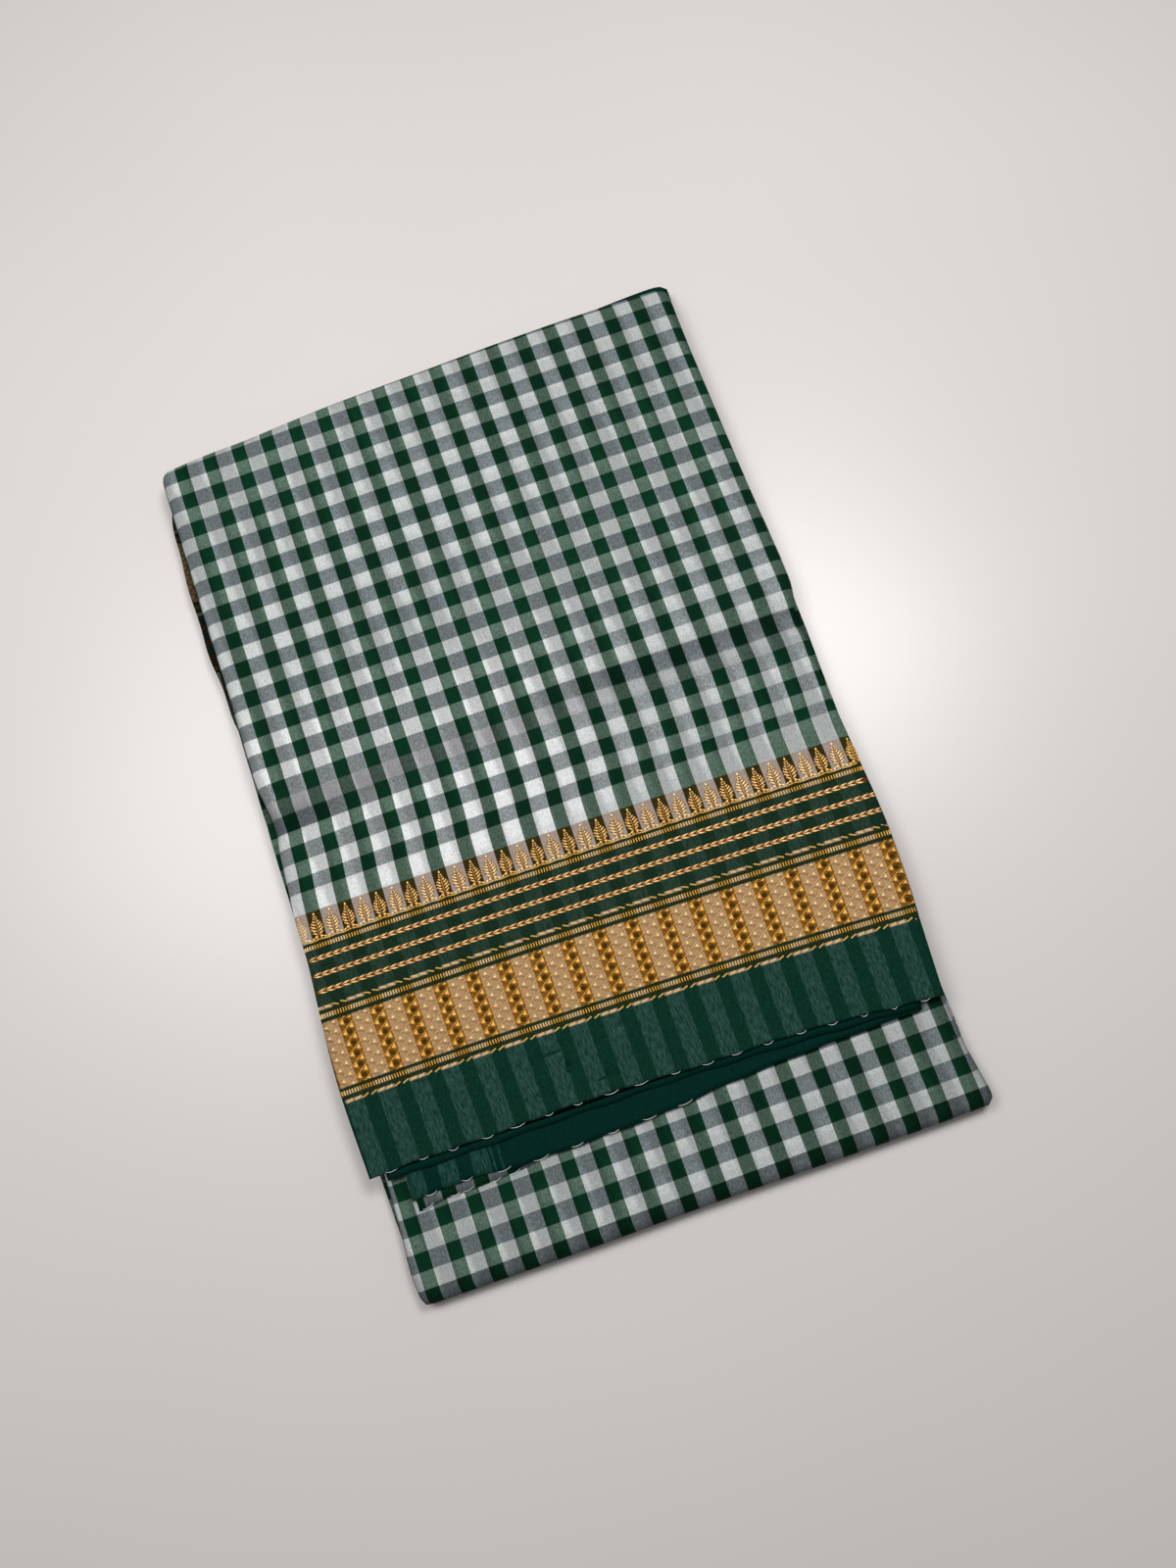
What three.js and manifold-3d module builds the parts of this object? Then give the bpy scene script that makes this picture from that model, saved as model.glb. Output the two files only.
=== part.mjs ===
// A saree folded as it is kept on a shelf, laid flat on its back. Millimetres, +Z up, origin under the middle of
// its bounding box. The cloth is one uncut length. It is folded crosswise into a strip of many layers as wide as the
// packet, and the strip is folded in three up its height, so that from the top down there lie:
//   the front flap, from one selvedge with its woven border up to the top fold,
//   the middle run, whose far end is the other selvedge, and which shows below the flap down to the bottom fold,
//   the back run, from the top fold to the bottom fold, which lies on the table.
// Each stretch that shows is a wall of its own. The layers between them are one solid with lips at its edges.
import * as THREE from "three";
import { mergeVertices } from "three/addons/utils/BufferGeometryUtils.js";
import Module from "manifold-3d";

const wasm = await Module();
wasm.setup();

// ---- Driving sizes ----
const stackHeight = 18; // flap, middle run and back run together
const wall = 1.3; // the outer layers of each run, taken together
const seam = 0.3; // clearance between solids
const rimLip = 0.3; // how far the rounded rim of a wall stands out
const fieldStart = -33.3; // Y, where the front flap's checked field meets its border
const flapLayersEnd = -107; // Y, where the hidden layers stop and the free selvedges begin
const foldRadius = stackHeight / 2; // top fold, round the whole stack
const lowerFoldRadius = stackHeight / 3; // bottom fold, round the middle and back runs
const foldSweep = THREE.MathUtils.degToRad(94); // how far the front flap goes round the top fold
const endTurn = 5; // radius of the back run's upturned end
const endInset = 2; // and how far it stays inside the top fold
const selvedgeWall = 0.95; // a free selvedge under the flap's foot
const selvedgeRoll = 0.6;
const selvedgeLip = 0.2;
const hiddenWall = 1.45; // one bundle of the flap's hidden layers
const hiddenRoll = 0.7;
const hiddenLip = 0.6;

// ---- Outlines, seen from above ----
// Side edges of the front flap. Both draw in where the packet was once folded in half.
// roll is how far the outer layer rolls down over the side.
const flapLeft = [
  { y: -153, x: -133.2, roll: 1.8 },
  { y: -110, x: -135.8, roll: 2.2 },
  { y: -81, x: -135.6, roll: 2.6 },
  { y: -49, x: -134.3, roll: 3.0 },
  { y: -32, x: -134.9, roll: 3.6 },
  { y: -10, x: -134.0, roll: 4.4 },
  { y: 8, x: -133.5, roll: 4.8 },
  { y: 22, x: -132.8, roll: 5.0 },
  { y: 31, x: -134.4, roll: 5.4 },
  { y: 42, x: -136.4, roll: 5.8 },
  { y: 87, x: -137.2, roll: 6.0 },
  { y: 129, x: -138.7, roll: 6.0 },
  { y: 172, x: -139.8, roll: 6.0 },
  { y: 204, x: -139.3, roll: 6.0 },
];
const flapRight = [
  { y: -156, x: 133.8, roll: 1.8 },
  { y: -120, x: 135.9, roll: 2.0 },
  { y: -100, x: 137.4, roll: 2.2 },
  { y: -70, x: 138.0, roll: 2.6 },
  { y: -32, x: 136.1, roll: 3.2 },
  { y: 10, x: 134.0, roll: 4.2 },
  { y: 18, x: 134.7, roll: 4.4 },
  { y: 30, x: 133.2, roll: 4.6 },
  { y: 40, x: 135.4, roll: 5.0 },
  { y: 52, x: 137.0, roll: 5.4 },
  { y: 105, x: 134.6, roll: 5.5 },
  { y: 178, x: 132.0, roll: 5.5 },
  { y: 212, x: 131.6, roll: 5.5 },
];
// Side edges of the middle run where it shows below the flap, and of the back run.
const lowerLeft = [
  { y: -212, x: -126.4, roll: 3.0 },
  { y: -197, x: -128.8, roll: 3.6 },
  { y: -170, x: -128.2, roll: 3.6 },
  { y: -107, x: -128.6, roll: 3.6 },
];
const lowerRight = [
  { y: -208, x: 139.0, roll: 3.0 },
  { y: -196, x: 138.0, roll: 3.4 },
  { y: -183, x: 136.7, roll: 3.6 },
  { y: -159, x: 135.2, roll: 3.6 },
  { y: -107, x: 135.6, roll: 3.6 },
];
const backLeft = [
  { y: -205, x: -128.0, roll: 2.6 },
  { y: -110, x: -133.6, roll: 2.6 },
  { y: 60, x: -138.0, roll: 2.6 },
  { y: 200, x: -139.0, roll: 2.6 },
];
const backRight = [
  { y: -205, x: 138.2, roll: 2.6 },
  { y: -110, x: 136.4, roll: 2.6 },
  { y: 60, x: 136.8, roll: 2.6 },
  { y: 200, x: 131.6, roll: 2.6 },
];
// Free edges of the layers at the flap's foot.
const flapSelvedge = [
  { x: -133, y: -152.9 },
  { x: -115, y: -151.5 },
  { x: -78, y: -151.3 },
  { x: -29, y: -150.0 },
  { x: 24, y: -151.4 },
  { x: 75, y: -151.8 },
  { x: 133, y: -156.0 },
];
const secondSelvedge = [
  { x: -125, y: -155.8 },
  { x: 6, y: -154.2 },
  { x: 68, y: -155.4 },
  { x: 123, y: -157.6 },
];
const palluSelvedge = [
  { x: -118, y: -167.6 },
  { x: -91, y: -166.2 },
  { x: -67, y: -167.8 },
  { x: 0, y: -166.0 },
  { x: 31, y: -162.8 },
  { x: 62, y: -160.8 },
  { x: 123, y: -159.0 },
];
const cornerSelvedge = [
  { x: -116, y: -172.4 },
  { x: -98, y: -170.6 },
  { x: -74, y: -170.0 },
  { x: -40, y: -165.0 },
  { x: 20, y: -160.0 },
  { x: 100, y: -156.0 },
];
// Outermost lines of the two folds.
const topFoldLine = [
  { x: -138, y: 207.4 },
  { x: -117, y: 209.3 },
  { x: -95, y: 210.3 },
  { x: -51, y: 213.7 },
  { x: 0, y: 215.8 },
  { x: 42, y: 217.4 },
  { x: 90, y: 218.1 },
  { x: 132, y: 217.4 },
];
const bottomFoldLine = [
  { x: -126, y: -212.2 },
  { x: -51, y: -211.3 },
  { x: 9, y: -209.8 },
  { x: 106, y: -208.6 },
  { x: 139, y: -207.6 },
];
const topFold = (x) => along(topFoldLine, "x", x, "y");
const bottomFold = (x) => along(bottomFoldLine, "x", x, "y");
const halfWidth = 136;

// The old half-fold: a shallow valley across the front flap, from a nick on the left to a nick on the right.
const creaseMiddle = 27.5;
const creaseRise = 0.056;
const creaseDepth = 1.1;
const creaseHalfWidth = 8;

// ---- Curves and surfaces ----
// Smooth value of one column of a table at a place along its first column.
function along(table, key, place, column) {
  const last = table.length - 1;
  if (place <= table[0][key]) return table[0][column];
  if (place >= table[last][key]) return table[last][column];
  const i = table.findIndex((row) => row[key] > place) - 1;
  const slope = (a, b) => (table[b][column] - table[a][column]) / (table[b][key] - table[a][key]);
  const span = table[i + 1][key] - table[i][key];
  const t = (place - table[i][key]) / span;
  const startSlope = slope(Math.max(i - 1, 0), i + 1) * span;
  const endSlope = slope(i, Math.min(i + 2, last)) * span;
  const [start, end] = [table[i][column], table[i + 1][column]];
  return (
    start * (2 * t ** 3 - 3 * t ** 2 + 1) +
    startSlope * (t ** 3 - 2 * t ** 2 + t) +
    end * (3 * t ** 2 - 2 * t ** 3) +
    endSlope * (t ** 3 - t ** 2)
  );
}

// Depth of the old half-fold at a point, for a layer that follows it by the given share.
function crease(x, y, share = 1) {
  const off = (y - creaseMiddle - creaseRise * x) / creaseHalfWidth;
  return share * creaseDepth * Math.exp(-off * off);
}

// Fall of the front flap's upper side from the middle of the packet towards its edges.
const crownDrop = 0.25;
const crownCentre = 60;
const crownReach = 220;
const crown = (x, y) => crownDrop * ((x / halfWidth) ** 2 + ((y - crownCentre) / crownReach) ** 2);
const flapTop = (x, y) => stackHeight - crown(x, y) - crease(x, y);

const steps = (count) => Array.from({ length: count + 1 }, (_, i) => i / count);

// Places across a sheet: a quarter turn at each side, and even steps between.
function across(rollSteps, middleSteps) {
  const turn = steps(rollSteps).slice(0, -1);
  return [
    ...turn.map((t) => ({ side: -1, turn: 1 - t })),
    ...steps(middleSteps).map((t) => ({ side: 0, share: t })),
    ...turn.reverse().map((t) => ({ side: 1, turn: 1 - t })),
  ];
}

// X and the drop below the sheet's face at a place across it, between two edges that roll down.
function acrossPoint(place, left, right) {
  if (place.side === 0)
    return { x: THREE.MathUtils.lerp(left.x + left.roll, right.x - right.roll, place.share), drop: 0 };
  const edge = place.side < 0 ? left : right;
  const angle = (place.turn * Math.PI) / 2;
  return {
    x: edge.x - place.side * edge.roll * (1 - Math.sin(angle)),
    drop: edge.roll * (1 - Math.cos(angle)),
  };
}

const edgeAt = (table, y) => ({ x: along(table, "y", y, "x"), roll: along(table, "y", y, "roll") });

// A closed wall from a grid of outer points and unit normals: the inner side lies one thickness in.
// lip rounds the rim by pushing its middle out.
function wallGeometry(grid, thickness = wall, lip = rimLip) {
  const rows = grid.length;
  const columns = grid[0].length;
  const positions = [];
  const index = [];
  const put = (p) => positions.push(p.x, p.y, p.z) / 3 - 1;
  const outer = grid.map((row) => row.map((g) => put(g.point)));
  const inner = grid.map((row) =>
    row.map((g) => put(g.point.clone().addScaledVector(g.normal, -thickness))),
  );
  const quad = (a, b, c, d) => index.push(a, b, c, a, c, d);
  for (let i = 0; i + 1 < rows; i++)
    for (let j = 0; j + 1 < columns; j++) {
      quad(outer[i][j], outer[i][j + 1], outer[i + 1][j + 1], outer[i + 1][j]);
      quad(inner[i][j], inner[i + 1][j], inner[i + 1][j + 1], inner[i][j + 1]);
    }
  const rim = [];
  for (let j = 0; j < columns; j++) rim.push([0, j, 1, j]);
  for (let i = 1; i < rows; i++) rim.push([i, columns - 1, i, columns - 2]);
  for (let j = columns - 2; j >= 0; j--) rim.push([rows - 1, j, rows - 2, j]);
  for (let i = rows - 2; i > 0; i--) rim.push([i, 0, i, 1]);
  const middle = rim.map(([i, j, insideRow, insideColumn]) => {
    const { point, normal } = grid[i][j];
    const out = point.clone().sub(grid[insideRow][insideColumn].point).normalize();
    return put(point.clone().addScaledVector(normal, -thickness / 2).addScaledVector(out, lip));
  });
  rim.forEach(([i, j], k) => {
    const next = (k + 1) % rim.length;
    const [ni, nj] = rim[next];
    quad(middle[k], middle[next], outer[ni][nj], outer[i][j]);
    quad(inner[i][j], inner[ni][nj], middle[next], middle[k]);
  });
  const geometry = new THREE.BufferGeometry();
  geometry.setAttribute("position", new THREE.Float32BufferAttribute(positions, 3));
  geometry.setIndex(index);
  return geometry;
}

// Points and normals of a surface on a grid, by small differences.
function sampled(rowPlaces, columnPlaces, surface) {
  const points = rowPlaces.map((r) => columnPlaces.map((c) => surface(r, c)));
  const clamp = (i, n) => Math.min(Math.max(i, 0), n - 1);
  return points.map((row, i) =>
    row.map((point, j) => {
      const acrossRow = row[clamp(j + 1, row.length)].clone().sub(row[clamp(j - 1, row.length)]);
      const down = points[clamp(i + 1, points.length)][j].clone().sub(points[clamp(i - 1, points.length)][j]);
      return { point, normal: acrossRow.cross(down).normalize() };
    }),
  );
}

// A sheet that lies in the packet: its edges, its height and the lines it runs between.
function lyingSheet({ left, right, from, to, height, rows, rollSteps = 3, middleSteps = 8, thickness, lip }) {
  const grid = sampled(rows, across(rollSteps, middleSteps), (t, place) => {
    const guess = THREE.MathUtils.lerp(from(0), to(0), t);
    const { x, drop } = acrossPoint(place, edgeAt(left, guess), edgeAt(right, guess));
    const y = THREE.MathUtils.lerp(from(x), to(x), t);
    return new THREE.Vector3(x, y, height(x, y) - drop);
  });
  return wallGeometry(grid, thickness, lip);
}

// ---- The stretches that show ----
// Checked field of the front flap, from the border up and over the top fold to half of its height.
function frontField() {
  const flatRows = [0, 0.09, 0.17, 0.21, 0.25, 0.29, 0.34, 0.42, 0.55, 0.7, 0.85, 1].map((t) => ({ t, angle: 0 }));
  const foldRows = steps(5).slice(1).map((t) => ({ t: 1, angle: t * foldSweep }));
  const grid = sampled([...flatRows, ...foldRows], across(4, 12), ({ t, angle }, place) => {
    const start = fieldStart + seam / 2 + rimLip;
    const middleY = THREE.MathUtils.lerp(start, topFold(0) - foldRadius, t);
    const { x, drop } = acrossPoint(place, edgeAt(flapLeft, middleY), edgeAt(flapRight, middleY));
    const foldY = topFold(x) - foldRadius;
    const y = THREE.MathUtils.lerp(start, foldY, t);
    const lift = flapTop(x, y) - foldRadius;
    const reach = foldRadius - drop;
    return new THREE.Vector3(x, y + reach * Math.sin(angle), lift + reach * Math.cos(angle));
  });
  return wallGeometry(grid);
}

const frontBorder = () =>
  lyingSheet({
    left: flapLeft,
    right: flapRight,
    from: (x) => along(flapSelvedge, "x", x, "y"),
    to: () => fieldStart - seam / 2 - rimLip,
    height: flapTop,
    rows: [0, 0.08, 0.2, 0.4, 0.6, 0.8, 1],
    middleSteps: 12,
  });

// A free selvedge under the flap's foot, from the end of the hidden layers down.
function selvedgeLayer({ top, selvedge, leftX, rightX, leftSlant = 0 }) {
  return lyingSheet({
    left: [
      { y: -180, x: leftX + leftSlant, roll: selvedgeRoll },
      { y: -158, x: leftX, roll: selvedgeRoll },
      { y: -100, x: leftX - 2, roll: selvedgeRoll },
    ],
    right: [
      { y: -180, x: rightX, roll: selvedgeRoll },
      { y: -100, x: rightX + 4, roll: selvedgeRoll },
    ],
    from: (x) => along(selvedge, "x", x, "y"),
    to: () => flapLayersEnd - seam - 2 * rimLip,
    height: () => top,
    rows: [0, 0.12, 0.5, 1],
    rollSteps: 1,
    middleSteps: 10,
    thickness: selvedgeWall,
    lip: selvedgeLip,
  });
}

// The middle run's outer layer: from under the flap down to the bottom fold and round it on to the table.
function lowerPanel() {
  const flatRows = [0, 0.35, 0.6, 0.8, 1].map((t) => ({ t, angle: 0 }));
  const foldRows = steps(6).slice(1).map((t) => ({ t: 1, angle: t * Math.PI }));
  const rowsFromFold = [...flatRows, ...foldRows].reverse();
  const grid = sampled(rowsFromFold, across(3, 10), ({ t, angle }, place) => {
    const start = flapLayersEnd - seam - rimLip * 2;
    const middleY = THREE.MathUtils.lerp(start, bottomFold(0), t);
    const { x, drop } = acrossPoint(place, edgeAt(lowerLeft, middleY), edgeAt(lowerRight, middleY));
    const foldY = bottomFold(x) + lowerFoldRadius;
    const y = THREE.MathUtils.lerp(start, foldY, t);
    const reach = lowerFoldRadius - drop;
    return new THREE.Vector3(x, y - reach * Math.sin(angle), lowerFoldRadius + reach * Math.cos(angle));
  });
  return wallGeometry(grid);
}

// The back run's outer layer, flat on the table, with its sides and its upper end turned up.
function backPanel() {
  const flatRows = [0, 0.5, 1].map((t) => ({ t, angle: 0 }));
  const endRows = steps(3).slice(1).map((t) => ({ t: 1, angle: (t * Math.PI) / 2 }));
  const grid = sampled([...flatRows, ...endRows].reverse(), across(3, 6), ({ t, angle }, place) => {
    const middleY = THREE.MathUtils.lerp(bottomFold(0) + lowerFoldRadius, topFold(0), t);
    const { x, drop } = acrossPoint(place, edgeAt(backLeft, middleY), edgeAt(backRight, middleY));
    const start = bottomFold(x) + lowerFoldRadius + seam + 2 * rimLip;
    const y = THREE.MathUtils.lerp(start, topFold(x) - endTurn - endInset, t);
    const reach = endTurn - drop;
    return new THREE.Vector3(x, y + reach * Math.sin(angle), endTurn - reach * Math.cos(angle));
  });
  return wallGeometry(grid);
}

// Far end of the middle run, between flap and back, with the other selvedge's border. Its left side stands out.
const innerBorderSelvedge = 196;
const innerBorderStart = 62;
const innerBorderTop = 9.3;
const innerBorderLeft = [
  { y: 60, x: -139.2, roll: 1 },
  { y: 75, x: -141.0, roll: 1 },
  { y: 92, x: -140.8, roll: 1 },
  { y: 112, x: -142.4, roll: 1 },
  { y: 145, x: -143.2, roll: 1 },
  { y: 172, x: -143.2, roll: 1 },
  { y: 196, x: -141.4, roll: 1 },
];
const innerBorderRight = [
  { y: 60, x: 133, roll: 1 },
  { y: 196, x: 129, roll: 1 },
];
const innerBorder = () =>
  lyingSheet({
    left: innerBorderLeft,
    right: innerBorderRight,
    from: () => innerBorderStart,
    to: () => innerBorderSelvedge,
    height: () => innerBorderTop,
    rows: steps(7),
    rollSteps: 2,
    middleSteps: 4,
  });

// ---- Hidden layers ----
// A flat bundle of layers with a round lip all round, from the corners of its outline.
function bundle({ bottom, top, corners }) {
  const lip = (top - bottom) / 2;
  const outline = new THREE.Shape(corners.map(([x, y]) => new THREE.Vector2(x, y)));
  const geometry = new THREE.ExtrudeGeometry(outline, {
    depth: 0.02,
    bevelThickness: lip - 0.01,
    bevelSize: lip,
    bevelOffset: -lip,
    bevelSegments: 2,
    curveSegments: 1,
  });
  geometry.translate(0, 0, (bottom + top) / 2 - 0.01);
  return geometry;
}

// Corners of a bundle inside the back run's outline, in from its sides and its two folds by the given clearances.
function runCorners({ left, right, foot, head }) {
  const end = (x, y) => (y < -200 ? bottomFold(x) + foot : y > 190 ? topFold(x) - head : y);
  const side = (table, inset) => table.map((row) => [row.x + inset, end(row.x, row.y)]);
  return [...side(backRight, -right), ...side(backLeft, left).reverse()];
}

const hiddenRuns = [
  { bottom: 1.6, top: 3.4, left: 4.0, right: 3.2, foot: 8, head: 9 },
  { bottom: 3.3, top: 5.1, left: 0.2, right: 1.2, foot: 7.2, head: 7 },
  { bottom: 5.0, top: 6.8, left: 1.4, right: 0.2, foot: 7.2, head: 7.5 },
  { bottom: 6.7, top: 7.7, left: 0.4, right: 1.6, foot: 7.2, head: 8 },
  { bottom: 3.3, top: 7.7, left: 5.0, right: 5.0, foot: 2.8, head: 9 },
];

// Layers of the flap: each follows the crease less than the one above.
const hiddenFlap = [
  { top: 16.1, share: 0.9, inset: 4.8, head: 11 },
  { top: 15.0, share: 0.5, inset: 3.0, head: 10.2 },
  { top: 13.7, share: 0.2, inset: 2.6, head: 9.6 },
];

function hiddenFlapSheet({ top, share, inset, head }) {
  const moved = (table, by) => table.map((row) => ({ ...row, x: row.x + by, roll: hiddenRoll }));
  return lyingSheet({
    left: moved(flapLeft, inset),
    right: moved(flapRight, -inset),
    from: () => flapLayersEnd,
    to: (x) => topFold(x) - head,
    height: (x, y) => top - crease(x, y, share) - share * crown(x, y),
    rows: [0, 0.3, 0.38, 0.42, 0.46, 0.54, 0.8, 1],
    rollSteps: 1,
    middleSteps: 6,
    thickness: hiddenWall,
    lip: hiddenLip,
  });
}

function solidOf(geometry) {
  const bare = geometry.clone();
  bare.deleteAttribute("normal");
  bare.deleteAttribute("uv");
  const merged = mergeVertices(bare, 1e-4);
  return new wasm.Manifold(
    new wasm.Mesh({
      numProp: 3,
      vertProperties: merged.attributes.position.array,
      triVerts: new Uint32Array(merged.index.array),
    }),
  );
}

function geometryOf(solid) {
  const mesh = solid.getMesh();
  const geometry = new THREE.BufferGeometry();
  geometry.setAttribute("position", new THREE.Float32BufferAttribute(mesh.vertProperties, 3));
  geometry.setIndex([...mesh.triVerts]);
  return geometry;
}

function hiddenLayers() {
  // Between the runs and the flap: a lower part as far as the inner border, and an upper part over it.
  const lowerBridge = bundle({
    bottom: 7.6,
    top: 10.2,
    corners: [
      [-123, bottomFold(-halfWidth) + 12],
      [130, bottomFold(halfWidth) + 12],
      [131, innerBorderStart - 3 * seam],
      [-130, innerBorderStart - 3 * seam],
    ],
  });
  const upperBridge = bundle({
    bottom: 9.95,
    top: 12.5,
    corners: [
      [-130, flapLayersEnd],
      [130, flapLayersEnd],
      [129, 205],
      [-131, 197],
    ],
  });
  const parts = [
    ...hiddenRuns.map((row) => bundle({ ...row, corners: runCorners(row) })),
    ...hiddenFlap.map(hiddenFlapSheet),
    lowerBridge,
    upperBridge,
  ];
  return geometryOf(parts.map(solidOf).reduce((whole, next) => whole.add(next)));
}

// Fold of the plain green end piece, which stands out past the top fold on the right.
const palluFold = () =>
  bundle({
    bottom: 5.6,
    top: 7.4,
    corners: [
      [-40, 208.2],
      [128, 212.2],
      [133, 218.6],
      [131, 221.6],
      [122, 222.2],
      [70, 220.2],
      [-40, 213],
    ],
  });

// ---- Assembly ----
const cloth = {
  checks: { color: 0x7f9a8c, roughness: 0.85 },
  green: { color: 0x0e4234, roughness: 0.8 },
  border: { color: 0x8a6a2c, roughness: 0.55, metalness: 0.2 },
  layers: { color: 0x5f7f70, roughness: 0.9 },
};

const saree = new THREE.Group();

function add(name, geometry, finish) {
  const mesh = new THREE.Mesh(geometry, new THREE.MeshStandardMaterial({ ...cloth[finish] }));
  mesh.name = name;
  saree.add(mesh);
}

add("front_field", frontField(), "checks");
add("front_border", frontBorder(), "border");
add(
  "second_selvedge",
  selvedgeLayer({ top: 15.8, selvedge: secondSelvedge, leftX: -125, rightX: 124 }),
  "green",
);
add(
  "pallu_selvedge",
  selvedgeLayer({ top: 14.45, selvedge: palluSelvedge, leftX: -117.2, rightX: 124, leftSlant: -2 }),
  "green",
);
add(
  "corner_selvedge",
  selvedgeLayer({ top: 13.3, selvedge: cornerSelvedge, leftX: -116.5, rightX: 100 }),
  "green",
);
add("lower_panel", lowerPanel(), "checks");
add("back_panel", backPanel(), "checks");
add("inner_border", innerBorder(), "border");
add("pallu_fold", palluFold(), "green");
add("hidden_layers", hiddenLayers(), "layers");

// The origin lies under the middle of the bounding box.
const middle = new THREE.Box3().setFromObject(saree).getCenter(new THREE.Vector3());
for (const mesh of saree.children) {
  mesh.geometry.translate(-middle.x, -middle.y, 0);
  mesh.geometry.computeVertexNormals();
}

export default saree;
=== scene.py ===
import math
import random

import bpy
from mathutils import Matrix, Vector


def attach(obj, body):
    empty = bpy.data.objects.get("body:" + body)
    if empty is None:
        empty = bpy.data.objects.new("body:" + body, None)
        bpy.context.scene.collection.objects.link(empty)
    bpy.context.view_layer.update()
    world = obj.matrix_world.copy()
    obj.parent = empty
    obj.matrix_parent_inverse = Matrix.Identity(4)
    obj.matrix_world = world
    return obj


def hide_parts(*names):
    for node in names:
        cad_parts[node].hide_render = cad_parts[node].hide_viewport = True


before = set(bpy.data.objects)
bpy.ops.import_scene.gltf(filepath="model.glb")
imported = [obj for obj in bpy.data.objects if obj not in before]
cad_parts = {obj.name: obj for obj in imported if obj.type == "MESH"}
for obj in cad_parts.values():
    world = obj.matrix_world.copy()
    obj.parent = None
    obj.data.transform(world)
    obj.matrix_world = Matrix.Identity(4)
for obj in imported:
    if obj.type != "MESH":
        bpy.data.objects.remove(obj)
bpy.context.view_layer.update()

# ---------------------------------------------------------------- sizes
MM = 0.001
MIDDLE_X, MIDDLE_Y = -2.18, 5.014  # middle of the packet on its own grid, where the frame has its origin
STACK = 18.0  # height of the packet
TOP_FOLD_RADIUS = 9.0
LOW_TOP = 12.0  # height of the stretch below the flap
LOW_FOLD_RADIUS = 6.0
CLOTH, THIN_CLOTH = 0.3, 0.28  # thickness of one shown layer, and of the small ones
FACE_IN = 0.15  # how far a shown face lies inside the packet's height
HALF_WIDTH = 136.0
UNDER_FLAP = -100.0  # y, how far the lower stretch runs up under the flap
SELVEDGE_END = -112.0  # y, how far the free selvedges are made under the flap

# Side edges: y, x, roll (how far the outer layer rolls over the side).
FLAP_LEFT = [
    (-153, -133.2, 1.8), (-110, -135.8, 2.2), (-81, -135.6, 2.6), (-49, -134.3, 3.0), (-32, -134.9, 3.6),
    (-10, -134.0, 4.4), (8, -133.5, 4.8), (22, -132.8, 5.0), (31, -134.4, 5.4), (42, -136.4, 5.8),
    (87, -137.2, 6.0), (129, -138.7, 6.0), (172, -139.8, 6.0), (204, -140.3, 4.6),
]
FLAP_RIGHT = [
    (-156, 133.8, 1.8), (-120, 135.9, 2.0), (-100, 137.4, 2.2), (-70, 138.0, 2.6), (-32, 136.1, 3.2),
    (10, 134.0, 4.2), (18, 134.7, 4.4), (30, 133.2, 4.6), (40, 135.4, 5.0), (52, 137.0, 5.4),
    (105, 134.6, 5.5), (178, 132.0, 5.5), (212, 131.6, 5.5),
]
LOW_LEFT = [(-212, -126.4, 3.0), (-197, -128.8, 3.6), (-170, -128.2, 3.6), (-107, -128.6, 3.6)]
LOW_RIGHT = [
    (-208, 139.8, 1.8), (-196, 138.4, 2.8), (-183, 136.7, 3.6), (-159, 135.2, 3.6), (-107, 135.6, 3.6),
]
BACK_LEFT = [(-205, -128.0, 2.6), (-110, -133.6, 2.6), (60, -138.0, 2.6), (200, -139.0, 2.6)]
BACK_RIGHT = [(-205, 138.2, 2.6), (-110, 136.4, 2.6), (60, 136.8, 2.6), (200, 131.6, 2.6)]
INNER_LEFT = [  # y, x
    (60, -136.8), (75, -139.4), (92, -140.6), (112, -142.4), (145, -143.2), (172, -143.0), (180, -142.2),
    (188, -140.5), (196, -139.2),
]
# Free edges and folds: x, y.
FLAP_FOOT = [
    (-133, -152.9), (-115, -151.5), (-78, -151.3), (-29, -150.0), (24, -151.4), (75, -151.8), (133, -156.0),
]
SECOND_FOOT = [(-125, -155.8), (6, -154.2), (68, -155.4), (123, -157.6)]
PALLU_FOOT = [
    (-118, -167.6), (-91, -166.2), (-67, -167.8), (0, -166.0), (31, -162.8), (62, -160.8), (123, -159.0),
]
CORNER_FOOT = [(-116, -172.4), (-98, -170.6), (-74, -170.0), (-40, -165.0), (20, -160.0), (100, -156.0)]
TOP_FOLD = [
    (-138, 207.4), (-117, 209.3), (-95, 210.3), (-51, 213.7), (0, 215.8), (42, 217.4), (90, 218.1),
    (132, 217.4),
]
FOLD_EDGE = [  # of the plain fold that stands out past the top fold
    (-40, 209.5), (20, 213.5), (42, 216.6), (70, 219.2), (100, 221.2), (122, 222.3), (130, 221.7),
    (133, 219.2),
]
LOW_FOLD = [(-126, -212.2), (-51, -211.3), (9, -209.8), (106, -208.6), (139, -207.6)]

# Where the packet was once folded in half: a shallow valley across the flap. x, depth.
CREASE_DEPTH = [(-133, 2.3), (-90, 1.9), (-20, 1.4), (60, 1.3), (110, 1.9), (134, 2.2)]
CREASE_Y, CREASE_RISE, CREASE_WIDTH = 19.2, 0.077, 6.5
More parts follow.
